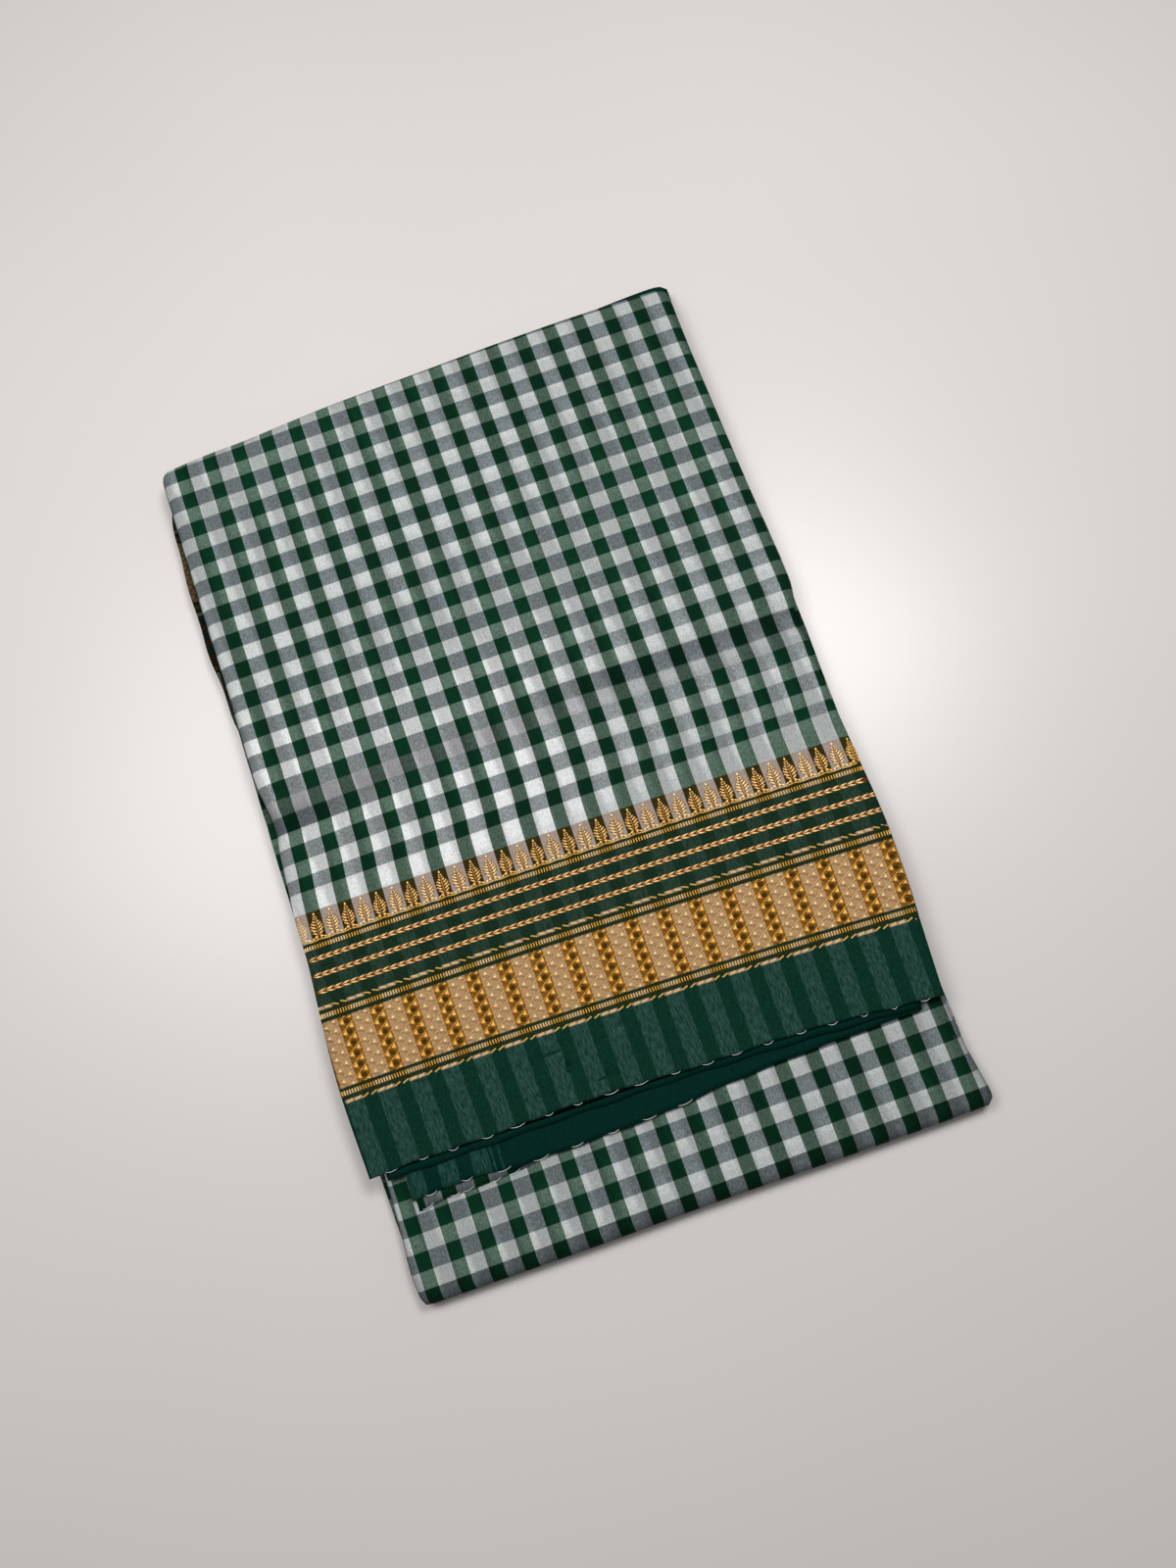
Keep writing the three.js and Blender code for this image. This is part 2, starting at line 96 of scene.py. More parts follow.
# Small soft folds on the flap: x, y, direction in degrees, length, width, height.
FLAP_FOLDS = [
    (-119, 34, 14, 24, 2.2, 0.8), (-121, 27, 2, 20, 1.6, -0.6), (-122, 20, -6, 22, 2.2, 0.8),
    (-124, 12, -16, 18, 2.0, 0.55), (-127, 44, 30, 16, 2.4, 0.6), (-128, 24, 10, 8, 1.0, 0.5),
    (119, 45, 10, 24, 2.6, 0.7), (122, 38, 3, 20, 1.8, -0.5), (121, 30, -4, 22, 2.4, 0.6),
    (126, 22, -14, 16, 2.2, 0.5), (127, 50, 24, 14, 2.2, 0.5),
    (-60, 40, 6, 60, 7.0, 0.22), (40, 47, 4, 60, 8.0, 0.18), (-20, 12, 3, 80, 7.0, 0.20),
    (-41, -126, 2, 13, 1.3, -0.9), (-34, -133, 84, 8, 1.9, -0.9), (-19, -143, 4, 12, 1.4, -0.7),
    (-8, -124, 6, 10, 1.3, -0.5), (73, -140, 84, 15, 1.5, -0.9), (74.5, -140, 84, 15, 1.2, 0.5),
    (-97, -60, 80, 60, 9.0, 0.16), (20, -40, 84, 80, 12.0, -0.14), (95, -90, 78, 60, 10.0, 0.18),
    (-50, 120, 62, 90, 16.0, 0.20),
    (70, 150, 100, 80, 18.0, 0.18), (-100, 170, 85, 60, 10.0, -0.15), (10, 190, 10, 90, 8.0, -0.14),
]
LOW_FOLDS = [
    (-70, -185, 80, 20, 7, -0.25), (20, -190, 95, 22, 9, 0.22), (90, -182, 84, 24, 8, -0.22),
    (128, -190, 70, 16, 4, 0.3),
]

# ---------------------------------------------------------------- the check and the border
REPEAT, REPEAT_DOWN = 15.2, 15.49  # one repeat of the check, across and down
HALF_REPEAT = REPEAT / 2
ACROSS_X, ACROSS_Y = 15.199, 0.142  # how one repeat across lies on the packet's grid
DOWN_X, DOWN_Y = 0.4345, -15.482  # and one repeat down
ZERO_ACROSS, ZERO_DOWN = 11.6, 15.5
WHITE_COLUMN, WHITE_ROW = 0.55, 0.485  # share of a repeat
LAST_WHITE_ROW = 17.0  # repeats down
CREASE_ROW, BESIDE_CREASE = 14.0, (0.26, 0.06)  # the row along the old half-fold, and half a row beside it
# Beyond the old half-fold the rows hang lower: across, sag in repeats. Then where it starts and fades, down.
SAG = [(3, 0.12), (6, 0.06), (10, 0.07), (13, 0.06), (15, 0.14), (17, 0.19), (19, 0.22)]
SAG_START, SAG_FADE = (12.6, 14.3), (17.0, 16.2)
# And the columns lean to the left: down, shift at the left, shift at the right, in repeats.
LEAN = [
    (14.5, 0.0, -0.02), (16, -0.05, -0.08), (17, -0.15, -0.15), (18.5, -0.21, -0.15), (21.5, -0.20, -0.27),
    (24, -0.13, -0.36), (26, -0.08, -0.42),
]
LEAN_LEFT, LEAN_SPAN = 3.5, 15.0  # repeats across where the left shift is meant, and on to the right one
# The stretch below the flap is a little wider and askew: stretch and shift across, slant and shift down.
LOW_STRETCH, LOW_SHIFT, LOW_SLANT, LOW_DROP = 1.0259, -0.862, 0.01375, -0.46
SELVEDGE_DOWN, SELVEDGE_TILT = 25.18, 0.011  # place of the selvedge in repeats down, and its tilt
SELVEDGE_MIDDLE = 10  # repeats across, where the tilted selvedge has that place
INNER_REPEAT = 15.48  # one repeat down on the hidden runs
# The border's lines sag towards both sides, most near the selvedge: straightest at, least sag, growth.
BOW_MIDDLE, BOW_LEAST, BOW_GROWTH = 9.0, 0.4, 0.021
BOW_FOOT, BOW_FADE = 1.55, 0.0097
FIELD_ROWS = 23  # repeats between the bottom fold's cloth and the flap's, so that it lies in the plain field
# Lines of the border, distance from the selvedge.
DASH_LOW, LADDER_LOW = 33.9, 37.6
BAND_LOW, BAND_HIGH, BAND_ROWS = 40.1, 69.9, 6
BAND_PITCH = (BAND_HIGH - BAND_LOW) / BAND_ROWS
LADDER_MIDDLE, DASH_HIGH = 72.8, 76.4
CHAINS = (83.5, 90.8, 98.2)
LADDER_HIGH = 103.6
SPIKE_FOOT, SPIKE_GROUND = 106.2, 119.5
# The dark lines with rungs: middle, how far the dark reaches below it and above it.
LADDERS = ((LADDER_LOW, 2.9, 2.2), (LADDER_MIDDLE, 2.4, 2.4), (LADDER_HIGH, 1.6, 2.5))
EYE_WIDE, EYE_HIGH = 1.3, 1.15  # half sizes of the eye in a cell of the broad band
BESIDE, BESIDE_SOFT = 0.12, 0.05  # painted shade on the ground beside a crossing thread: its reach and softness, in cells


def place(x, y, z):
    """A point of the packet's grid in the frame, in metres."""
    return Vector(((x - MIDDLE_X) * MM, (y - MIDDLE_Y) * MM, z * MM))


def smooth(rows, at, column=1):
    """Value of a table's column at a place along its first column, on one smooth curve."""
    last = len(rows) - 1
    if at <= rows[0][0]:
        return rows[0][column]
    if at >= rows[last][0]:
        return rows[last][column]
    i = next(k for k in range(1, last + 1) if rows[k][0] > at) - 1

    def slope(a, b):
        return (rows[b][column] - rows[a][column]) / (rows[b][0] - rows[a][0])

    span = rows[i + 1][0] - rows[i][0]
    t = (at - rows[i][0]) / span
    start_slope, end_slope = slope(max(i - 1, 0), i + 1) * span, slope(i, min(i + 2, last)) * span
    return (
        rows[i][column] * (2 * t**3 - 3 * t**2 + 1)
        + start_slope * (t**3 - 2 * t**2 + t)
        + rows[i + 1][column] * (3 * t**2 - 2 * t**3)
        + end_slope * (t**3 - t**2)
    )


def blend(a, b, t):
    return a + (b - a) * t


def steps(start, end, count):
    return [blend(start, end, i / count) for i in range(count + 1)]


def ease(low, high, value):
    t = min(max((value - low) / (high - low), 0.0), 1.0)
    return t * t * (3 - 2 * t)


# ---------------------------------------------------------------- places on the cloth
def check_to_grid(across, down):
    a, d = across - ZERO_ACROSS, down - ZERO_DOWN
    return a * ACROSS_X + d * DOWN_X, a * ACROSS_Y + d * DOWN_Y


def grid_to_check(x, y):
    turn = ACROSS_X * DOWN_Y - DOWN_X * ACROSS_Y
    return ZERO_ACROSS + (x * DOWN_Y - y * DOWN_X) / turn, ZERO_DOWN + (y * ACROSS_X - x * ACROSS_Y) / turn


def lean(across, down):
    return blend(smooth(LEAN, down, 1), smooth(LEAN, down, 2), (across - LEAN_LEFT) / LEAN_SPAN)


def sag(across, down):
    """How far the rows beyond the crease hang below their straight places."""
    return smooth(SAG, across) * ease(*SAG_START, down) * ease(*SAG_FADE, down)


def flap_uv(x, y):
    across, down = grid_to_check(x, y)
    return across - lean(across, down), down - sag(across, down)


def bow(across, out):
    """How far a line of the border lies below its straight place."""
    return (BOW_LEAST + BOW_GROWTH * (across - BOW_MIDDLE) ** 2) * (BOW_FOOT - BOW_FADE * out)


def low_uv(x, y):
    across, down = grid_to_check(x, y)
    return LOW_STRETCH * across + LOW_SHIFT, down + LOW_SLANT * across + LOW_DROP - FIELD_ROWS


def past_crease(x, y):
    """How far a place lies beyond the line of the cross crease."""
    return y - CREASE_Y - CREASE_RISE * x


def crease(x, y):
    off = past_crease(x, y) / CREASE_WIDTH
    valley = smooth(CREASE_DEPTH, x) * math.exp(-off * off)
    lip = 0.25 * math.exp(-((off - 1.9) ** 2)) + 0.18 * math.exp(-((off + 1.8) ** 2))
    return valley - lip


def soft_folds(rows, x, y):
    height = 0.0
    for fx, fy, turn, length, width, rise in rows:
        c, s = math.cos(math.radians(turn)), math.sin(math.radians(turn))
        run, side = (x - fx) * c + (y - fy) * s, -(x - fx) * s + (y - fy) * c
        if abs(run) < length * 1.6 and abs(side) < width * 3:
            height += rise * math.exp(-((side / width) ** 2) - (run / (length * 0.6)) ** 4)
    return height


def crown(x, y):
    return 0.25 * ((x / HALF_WIDTH) ** 2 + ((y - 60) / 220) ** 2)


def foot_dip(y):
    return 0.35 * ease(-120, -153, y)


def flap_top(x, y):
    """Height of the flap's face."""
    swell = 0.10 * math.sin(x / 17.0 + y / 61.0) * math.sin(y / 23.0 - x / 90.0)
    return STACK - FACE_IN - crown(x, y) - crease(x, y) + soft_folds(FLAP_FOLDS, x, y) + swell - foot_dip(y)


def leaf_top(x, y, share):
    """Height that a hidden layer of the flap hangs from: the deeper it lies, the less it follows the face."""
    folds = soft_folds(FLAP_FOLDS, x, y)
    from_crease = abs(past_crease(x, y))
    clear = 0.9 * ease(98, 112, abs(x)) * ease(34, 14, from_crease)
    followed = share * (crown(x, y) + crease(x, y) + foot_dip(y) - folds + clear)
    return STACK - FACE_IN - followed - 0.45 * ease(60, 5, from_crease)


def low_top(x, y):
    swell = 0.12 * math.sin(x / 13.0 + 0.8) * math.sin(y / 15.0)
    return LOW_TOP - FACE_IN - 0.2 * (x / HALF_WIDTH) ** 2 + swell + soft_folds(LOW_FOLDS, x, y)


def rolled(unrolled, left, right):
    """x and drop of a point laid across a sheet whose two sides roll down. left and right are (x, roll)."""
    start, end = left[0] + left[1], right[0] - right[1]
    if unrolled < start:
        angle = min((start - unrolled) / left[1], math.pi / 2)
        return start - left[1] * math.sin(angle), left[1] * (1 - math.cos(angle))
    if unrolled > end:
        angle = min((unrolled - end) / right[1], math.pi / 2)
        return end + right[1] * math.sin(angle), right[1] * (1 - math.cos(angle))
    return unrolled, 0.0


def side(rows, y):
    return smooth(rows, y, 1), smooth(rows, y, 2)


def unrolled_span(left, right):
    quarter = math.pi / 2
    return left[0] + left[1] - left[1] * quarter, right[0] - right[1] + right[1] * quarter


def flap_point(unrolled, y):
    x, drop = rolled(unrolled, side(FLAP_LEFT, y), side(FLAP_RIGHT, y))
    return x, y, flap_top(x, y) - drop


# ---------------------------------------------------------------- mesh making
def new_piece(name, points, faces, uvs=None, materials=(), face_material=None, smooth_faces=True):
    """A mesh object at the origin from points in metres. uvs are one per point."""
    mesh = bpy.data.meshes.new(name)
    mesh.from_pydata(points, [], faces)
    if uvs:
        layer = mesh.uv_layers.new(name="cloth")
        for loop in mesh.loops:
            layer.data[loop.index].uv = uvs[loop.vertex_index]
    for material in materials:
        mesh.materials.append(material)
    if face_material:
        mesh.polygons.foreach_set("material_index", face_material)
    mesh.polygons.foreach_set("use_smooth", [smooth_faces] * len(mesh.polygons))
    mesh.update()
    piece = bpy.data.objects.new(name, mesh)
    bpy.context.scene.collection.objects.link(piece)
    return piece


def pick(piece):
    bpy.ops.object.select_all(action="DESELECT")
    bpy.context.view_layer.objects.active = piece
    piece.select_set(True)


def apply_modifier(piece, kind, **values):
    pick(piece)
    modifier = piece.modifiers.new(kind.lower(), kind)
    for key, value in values.items():
        setattr(modifier, key, value)
    bpy.ops.object.modifier_apply(modifier=modifier.name)
    piece.select_set(False)


def cloth_sheet(name, grid, material, thickness=CLOTH):
    """A thin shell from rows of (point, uv), its face to the outside."""
    width = len(grid[0])
    points = [point for row in grid for point, _ in row]
    uvs = [uv for row in grid for _, uv in row]
    faces = [
        (i * width + j, i * width + j + 1, (i + 1) * width + j + 1, (i + 1) * width + j)
        for i in range(len(grid) - 1)
        for j in range(width - 1)
    ]
    piece = new_piece(name, points, faces, uvs, [material])
    apply_modifier(piece, "SOLIDIFY", thickness=thickness * MM, offset=-1.0)
    return piece


# ---------------------------------------------------------------- materials
class Wire:
    """A value on its way through a material, so that patterns read as plain sums."""

    def __init__(self, tree, socket):
        self.tree, self.socket = tree, socket

    def maths(self, operation, *others):
        node = self.tree.nodes.new("ShaderNodeMath")
        node.operation = operation
        self.tree.links.new(self.socket, node.inputs[0])
        for i, other in enumerate(others, 1):
            if isinstance(other, Wire):
                self.tree.links.new(other.socket, node.inputs[i])
            else:
                node.inputs[i].default_value = other
        return Wire(self.tree, node.outputs[0])

    def __add__(self, other):
        return self.maths("ADD", other)

    def __sub__(self, other):
        return self.maths("SUBTRACT", other)

    def __mul__(self, other):
        return self.maths("MULTIPLY", other)

    def held(self):
        """Kept between 0 and 1."""
        return self.maths("MAXIMUM", 0.0).maths("MINIMUM", 1.0)

    def rest(self):
        """What is missing from 1."""
        return self * -1.0 + 1.0

    def off_whole(self):
        """Distance to the nearest whole number."""
        return (self + 0.5).maths("FRACT").maths("SUBTRACT", 0.5).maths("ABSOLUTE")

    def near(self, centre, half, soft):
        """1 within half of centre, 0 outside, over a soft edge."""
        return (self - centre).maths("ABSOLUTE").below(half, soft)

    def below(self, limit, soft):
        node = self.tree.nodes.new("ShaderNodeMapRange")
        node.interpolation_type = "SMOOTHSTEP"
        self.tree.links.new(self.socket, node.inputs["Value"])
        node.inputs["From Min"].default_value = limit - soft
        node.inputs["From Max"].default_value = limit + soft
        node.inputs["To Min"].default_value = 1.0
        node.inputs["To Max"].default_value = 0.0
        return Wire(self.tree, node.outputs["Result"])


class Finish:
    """One fabric material being wired up."""

    def __init__(self, name):
        self.material = bpy.data.materials.new(name)
        self.material.use_nodes = True
        self.tree = self.material.node_tree
        self.shader = self.tree.nodes["Principled BSDF"]

    def node(self, kind):
        return self.tree.nodes.new(kind)

    def halves(self, socket):
        """x and y of a place."""
        split = self.node("ShaderNodeSeparateXYZ")
        self.tree.links.new(socket, split.inputs[0])
        return Wire(self.tree, split.outputs["X"]), Wire(self.tree, split.outputs["Y"])

    def cloth_place(self):
        """Repeats of the check, across and down."""
        source = self.node("ShaderNodeUVMap")
        source.uv_map = "cloth"
        return self.halves(source.outputs["UV"])

    def object_place(self):
        return self.halves(self.node("ShaderNodeTexCoord").outputs["Object"])

    def noise(self, x, y, detail=2.0, roughness=0.5):
        place_in = self.node("ShaderNodeCombineXYZ")
        self.tree.links.new(x.socket, place_in.inputs[0])
        self.tree.links.new(y.socket, place_in.inputs[1])
        node = self.node("ShaderNodeTexNoise")
        node.noise_dimensions = "2D"
        self.tree.links.new(place_in.outputs[0], node.inputs["Vector"])
        node.inputs["Scale"].default_value = 1.0
        node.inputs["Detail"].default_value = detail
        node.inputs["Roughness"].default_value = roughness
        return Wire(self.tree, node.outputs[0])

    def paint(self, under, over, where):
        """Colour over laid on colour under where the mask is 1."""
        node = self.node("ShaderNodeMix")
        node.data_type = "RGBA"
        for value, socket in ((under, node.inputs[6]), (over, node.inputs[7]), (where, node.inputs[0])):
            if isinstance(value, Wire):
                self.tree.links.new(value.socket, socket)
            else:
                socket.default_value = (*value, 1.0)
        return Wire(self.tree, node.outputs[2])

    def tint(self, colour, tinge, where):
        """The colour taken towards its product with a tinge, where the mask is 1."""
        node = self.node("ShaderNodeMix")
        node.data_type, node.blend_type = "RGBA", "MULTIPLY"
        self.tree.links.new(where.socket, node.inputs[0])
        self.tree.links.new(colour.socket, node.inputs[6])
        node.inputs[7].default_value = (*tinge, 1.0)
        return Wire(self.tree, node.outputs[2])

    def shade(self, colour, amount):
        """A colour made lighter or darker by a factor."""
        node = self.node("ShaderNodeVectorMath")
        node.operation = "SCALE"
        self.tree.links.new(colour.socket, node.inputs[0])
        self.tree.links.new(amount.socket, node.inputs["Scale"])
        return Wire(self.tree, node.outputs[0])

    def bump(self, height, strength, distance):
        node = self.node("ShaderNodeBump")
        node.inputs["Strength"].default_value = strength
        node.inputs["Distance"].default_value = distance
        self.tree.links.new(height.socket, node.inputs["Height"])
        self.tree.links.new(node.outputs[0], self.shader.inputs["Normal"])

    def done(self, colour, roughness, gloss, metallic=0.0):
        self.tree.links.new(colour.socket, self.shader.inputs["Base Color"])
        self.shader.inputs["Roughness"].default_value = roughness
        self.shader.inputs["Metallic"].default_value = metallic
        self.shader.inputs["Specular IOR Level"].default_value = gloss
        return self.material


def tone(red, green, blue):
    """A colour given as 0 to 255 screen values."""
    shares = (red / 255, green / 255, blue / 255)
    return tuple(c / 12.92 if c <= 0.04045 else ((c + 0.055) / 1.055) ** 2.4 for c in shares)


# WHITE and GREY_BLUE are lighter copies of SOFT_WHITE and SOFT_GREY: the difference is painted sheen
WHITE, SOFT_WHITE = tone(216, 218, 218), tone(182, 187, 186)
GREY_BLUE, SOFT_GREY = tone(138, 144, 145), tone(110, 119, 121)
MID_GREEN, DARK_GREEN = tone(80, 102, 89), tone(6, 46, 28)
BORDER_GREEN, BORDER_STRIPE = tone(4, 46, 34), tone(50, 82, 75)
UPPER_GREEN, UPPER_STRIPE = tone(20, 44, 29), tone(46, 68, 56)
DARK_LINE = tone(38, 44, 18)
BAND_BROWN, BAND_OVAL, BAND_PALE = tone(132, 88, 28), tone(70, 50, 12), tone(182, 146, 106)
BAND_THREAD_SHADE, BAND_THREAD_SHADE_PALE = tone(74, 42, 8), tone(104, 74, 48)
RUNG_DARK, RUNG_PALE = tone(44, 38, 6), tone(98, 78, 58)
SPIKE_DARK, SPIKE_PALE = tone(50, 44, 16), tone(163, 147, 136)
DASH_PALE, CHAIN_SHADOW = tone(158, 136, 120), tone(92, 48, 16)
PALLU_GREEN, PALLU_STRIPE = tone(3, 42, 36), tone(48, 88, 80)
# painted shade for the row along the old half-fold and for the half rows beside it
CREASE_ROW_SHADE, CREASE_SHADE = tone(192, 190, 193), tone(184, 187, 191)
DEEP_GOLD, DEEP_TARNISH = tone(236, 172, 70), tone(172, 108, 34)
PALE_GOLD, PALE_TARNISH = tone(240, 200, 142), tone(204, 160, 110)
# lighter copies of the two golds: painted highlight
BRIGHT_GOLD, BRIGHT_PALE = tone(255, 210, 108), tone(255, 228, 156)
CHAIN_GOLD, CHAIN_TARNISH = tone(255, 216, 142), tone(220, 160, 90)
# painted shadow under the spikes, in two tones
BROWN_PAINTED_SHADOW, BROWN_PAINTED_SHADOW_DARK = tone(74, 46, 10), tone(44, 28, 6)
FAWN_PAINTED_SHADOW, FAWN_PAINTED_SHADOW_DARK = tone(140, 104, 68), tone(106, 74, 44)
THREAD_WHITE, THREAD_SHADE = tone(250, 252, 250), tone(222, 228, 222)
TABLE_PALE, TABLE_SHADE = tone(229, 224, 221), tone(222, 217, 214)


def band_ground(finish, across, from_selvedge, over_white):
    """Ground of the broad band: by the column, with painted shade beside the crossing threads, an eye in each
    cell.
    """
    row = (from_selvedge - BAND_LOW) * (1 / BAND_PITCH)
    half_repeats = across * 2.0
    # painted shade where the raised threads lie on the ground
    thread_shade = (half_repeats + row).off_whole().below(BESIDE, BESIDE_SOFT)
    thread_shade = thread_shade.maths("MAXIMUM", (half_repeats - row).off_whole().below(BESIDE, BESIDE_SOFT))
    edge = finish.paint(BAND_THREAD_SHADE, BAND_THREAD_SHADE_PALE, over_white)
    ground = finish.paint(finish.paint(BAND_BROWN, BAND_PALE, over_white), edge, thread_shade * 0.7)
    to_side = (half_repeats - 0.05).off_whole() * (HALF_REPEAT / EYE_WIDE)
    to_top = (row + 0.5).off_whole() * (BAND_PITCH / EYE_HIGH)
    eye = (to_side * to_side + to_top * to_top).below(1.0, 0.3) * over_white.rest()
    return finish.paint(ground, BAND_OVAL, eye)


def border_ground(finish, across, from_selvedge, over_white, speckle):
    """All grounds between the selvedge and the spikes' tips."""
    pale_share = (over_white * 0.88 + 0.12) * speckle
    ground = finish.paint(BORDER_GREEN, BORDER_STRIPE, pale_share)
    upper = finish.paint(UPPER_GREEN, UPPER_STRIPE, pale_share)
    ground = finish.paint(ground, upper, from_selvedge.below(BAND_HIGH, 1.0).rest())
    for middle, low, high in LADDERS:
        centre, half = middle + (high - low) / 2, (high + low) / 2
        ground = finish.paint(ground, DARK_LINE, from_selvedge.near(centre, half, 0.25) * 0.85)
        rung = finish.paint(RUNG_DARK, RUNG_PALE, over_white)
        ground = finish.paint(ground, rung, from_selvedge.near(middle, 1.05, 0.15))
    for middle in (DASH_LOW, DASH_HIGH):
        ground = finish.paint(ground, DASH_PALE, from_selvedge.near(middle, 0.7, 0.2) * over_white)
    for middle in CHAINS:
        ground = finish.paint(ground, CHAIN_SHADOW, from_selvedge.near(middle, 0.85, 0.3))
    half_band = (BAND_HIGH - BAND_LOW) / 2
    band = band_ground(finish, across, from_selvedge, over_white)
    ground = finish.paint(ground, band, from_selvedge.near(BAND_LOW + half_band, half_band, 0.2))
    spikes = finish.paint(SPIKE_DARK, SPIKE_PALE, over_white)
    half_spike = (SPIKE_GROUND - SPIKE_FOOT + 0.3) / 2
    return finish.paint(ground, spikes, from_selvedge.near(SPIKE_GROUND - half_spike, half_spike, 0.15))


WEAVE = 210.0  # turns of the plain weave, radians a repeat
# Unevenness of the yarn: scale across and down, detail, roughness, share of the shading, share of the relief.
YARNS = (
    (31.0, 2.2, 3.0, 0.8, 0.50, 0.9),  # warp
    (2.2, 36.0, 3.0, 0.8, 0.18, 0.7),  # weft
    (24.0, 15.0, 2.0, 0.6, 0.80, 0.6),  # slubs
    (17.0, 1.6, 2.0, 0.6, 0.24, 0.0),  # streaks
    (9.0, 9.0, 3.0, 0.7, 0.24, 0.0),  # mottle
)


def woven(name, pallu=False, shade=1.0, fold=None):
    """The saree's cloth: the check, and below it the border's grounds. Below fold it is painted darker, as
    shade where it turns from the light.
    """
    finish = Finish(name)
    across, down = finish.cloth_place()
    selvedge = across * SELVEDGE_TILT + (SELVEDGE_DOWN - SELVEDGE_TILT * SELVEDGE_MIDDLE)
    straight = (selvedge - down) * REPEAT_DOWN
    aside = across - BOW_MIDDLE
    from_selvedge = straight + (aside * aside * BOW_GROWTH + BOW_LEAST) * (straight * -BOW_FADE + BOW_FOOT)
    over_white = across.off_whole().below(WHITE_COLUMN / 2, 0.012)
    white_row = down.off_whole().below(WHITE_ROW / 2, 0.012)
    # the last white row runs on to the spikes
    white_row = white_row.maths("MAXIMUM", down.below(LAST_WHITE_ROW, 0.05).rest())
    threads, relief = [], [(across * WEAVE).maths("SINE") * (down * WEAVE).maths("SINE") * 0.35]
    for scale_across, scale_down, detail, roughness, share, raised in YARNS:
        yarn = finish.noise(across * scale_across, down * scale_down, detail, roughness)
        threads.append(yarn * share)
        relief.append(yarn * raised)
    drift = finish.noise(across * 0.31, down * 0.23, detail=1.0)
    # where green crosses white the two yarns show as a fine speckle
    mixed = (over_white - white_row) * (over_white - white_row)
    heather = (finish.noise(across * 33.0, down * 10.0, detail=1.0) - 0.5) * mixed
    # the cloth is thin: the white columns of the layer below shine through, slanting slowly across its own
    behind = across * 0.953 - down * 0.095 + drift * 0.2 + 0.97
    below = down * 0.98 + across * 0.02 + 0.12
    shine = behind.off_whole().below(0.24, 0.09) * (below.off_whole().below(0.25, 0.06) * 0.4 + 0.7)
    if pallu:
        stripe = over_white * across.below(5.25, 0.02)
        for middle, half in ((5.35, 0.03), (5.58, 0.035)):
            stripe = stripe.maths("MAXIMUM", across.near(middle, half, 0.015))
        speckle = finish.noise(across * 24.0, down * 3.0, detail=4.0, roughness=0.75)
        stripe = stripe * (speckle * 3.0 - 1.1).held()
        colour = finish.paint(PALLU_GREEN, PALLU_STRIPE, stripe)
    else:
        # painted sheen: the white squares lighter towards the flap's lower left, each square a little
        # different in tone; the grey squares painted lighter on the lower rows
        sheen_and_tone = down.below(11.0, 1.4).rest() * across.below(12.6, 2.6)
        sheen_and_tone = (sheen_and_tone * 0.9 + drift * 0.4 - 0.15).held()
        white = finish.paint(SOFT_WHITE, WHITE, sheen_and_tone)
        grey = finish.paint(SOFT_GREY, GREY_BLUE, down.below(12.0, 2.2) * -0.85 + 0.9)
        check = finish.paint(
            finish.paint(DARK_GREEN, MID_GREEN, white_row), finish.paint(grey, white, white_row), over_white
        )
        streaks = (finish.noise(across * 21.0, down * 4.0, roughness=0.7) * 2.5 - 0.7).held()
        ground = border_ground(finish, across, from_selvedge, over_white, streaks)
        colour = finish.paint(ground, check, from_selvedge.below(SPIKE_GROUND, 0.15).rest())
        # painted shade along the old half-fold: its row darker, most of all to the left; the half rows beside
        # it darker at the far left and on the right
        crease_row_shade = down.near(CREASE_ROW, WHITE_ROW / 2, 0.02) * (across.below(12.0, 5.0) * 0.4 + 0.6)
        colour = finish.tint(colour, CREASE_ROW_SHADE, crease_row_shade)
        shaded = down.near(CREASE_ROW + 0.5, *BESIDE_CREASE) * across.below(5.2, 1.8)
        shaded = shaded + down.near(CREASE_ROW - 0.5, *BESIDE_CREASE) * (across.below(12.5, 2.5) * -0.8 + 0.8)
        colour = finish.tint(colour, CREASE_SHADE, shaded)
    threads = sum(threads[1:], threads[0]) + 0.02
    if not pallu:
        checked = from_selvedge.below(SPIKE_GROUND, 0.5).rest()
        threads = threads * ((shine - 0.45) * checked * 0.36 + 1.0)
        # painted shade: the check darker towards the upper right
        upper_right_shade = down.below(5.5, 3.0) * across.below(13.5, 3.5).rest()
        threads = threads * (upper_right_shade * -0.12 + 1.0)
        threads = threads * (heather * 1.3 + 1.0)
    # painted shade past the bottom fold
    if fold:
        threads = threads * (down.below(fold, 0.03) * 0.33 + 0.67)
    colour = finish.shade(colour, threads * shade)
    finish.bump(sum(relief[1:], relief[0]), 0.35, 0.0002)
    return finish.done(colour, 0.75, 0.04)


def gold(name, colour, dark, metal=0.12):
    """Metal thread, wound fine, a little tarnished between the turns."""
    finish = Finish(name)
    x, y = finish.object_place()
    turns = finish.noise(x * 1400.0, y * 1400.0, roughness=0.7)
    patches = finish.noise(x * 60.0, y * 60.0)
    worn = (turns * 0.8 + patches * 0.5 - 0.25).maths("MINIMUM", 1.0)
    finish.bump(turns, 0.5, 0.0002)
    return finish.done(finish.paint(dark, colour, worn), 0.34, metal * 4, metallic=metal)


def thread_white():
    finish = Finish("loose white thread")
    x, y = finish.object_place()
    twist = finish.noise(x * 2200.0, y * 2200.0)
    finish.bump(twist, 0.4, 0.0001)
    return finish.done(finish.paint(THREAD_SHADE, THREAD_WHITE, twist), 0.6, 0.3)


def table_top():
    finish = Finish("pale table")
    x, y = finish.object_place()
    cloud = finish.noise(x * 3.0, y * 3.0)
    return finish.done(finish.paint(TABLE_SHADE, TABLE_PALE, cloud), 0.31, 0.5)


check_cloth = woven("green and white check")
pallu_cloth = woven("plain green end piece", pallu=True)
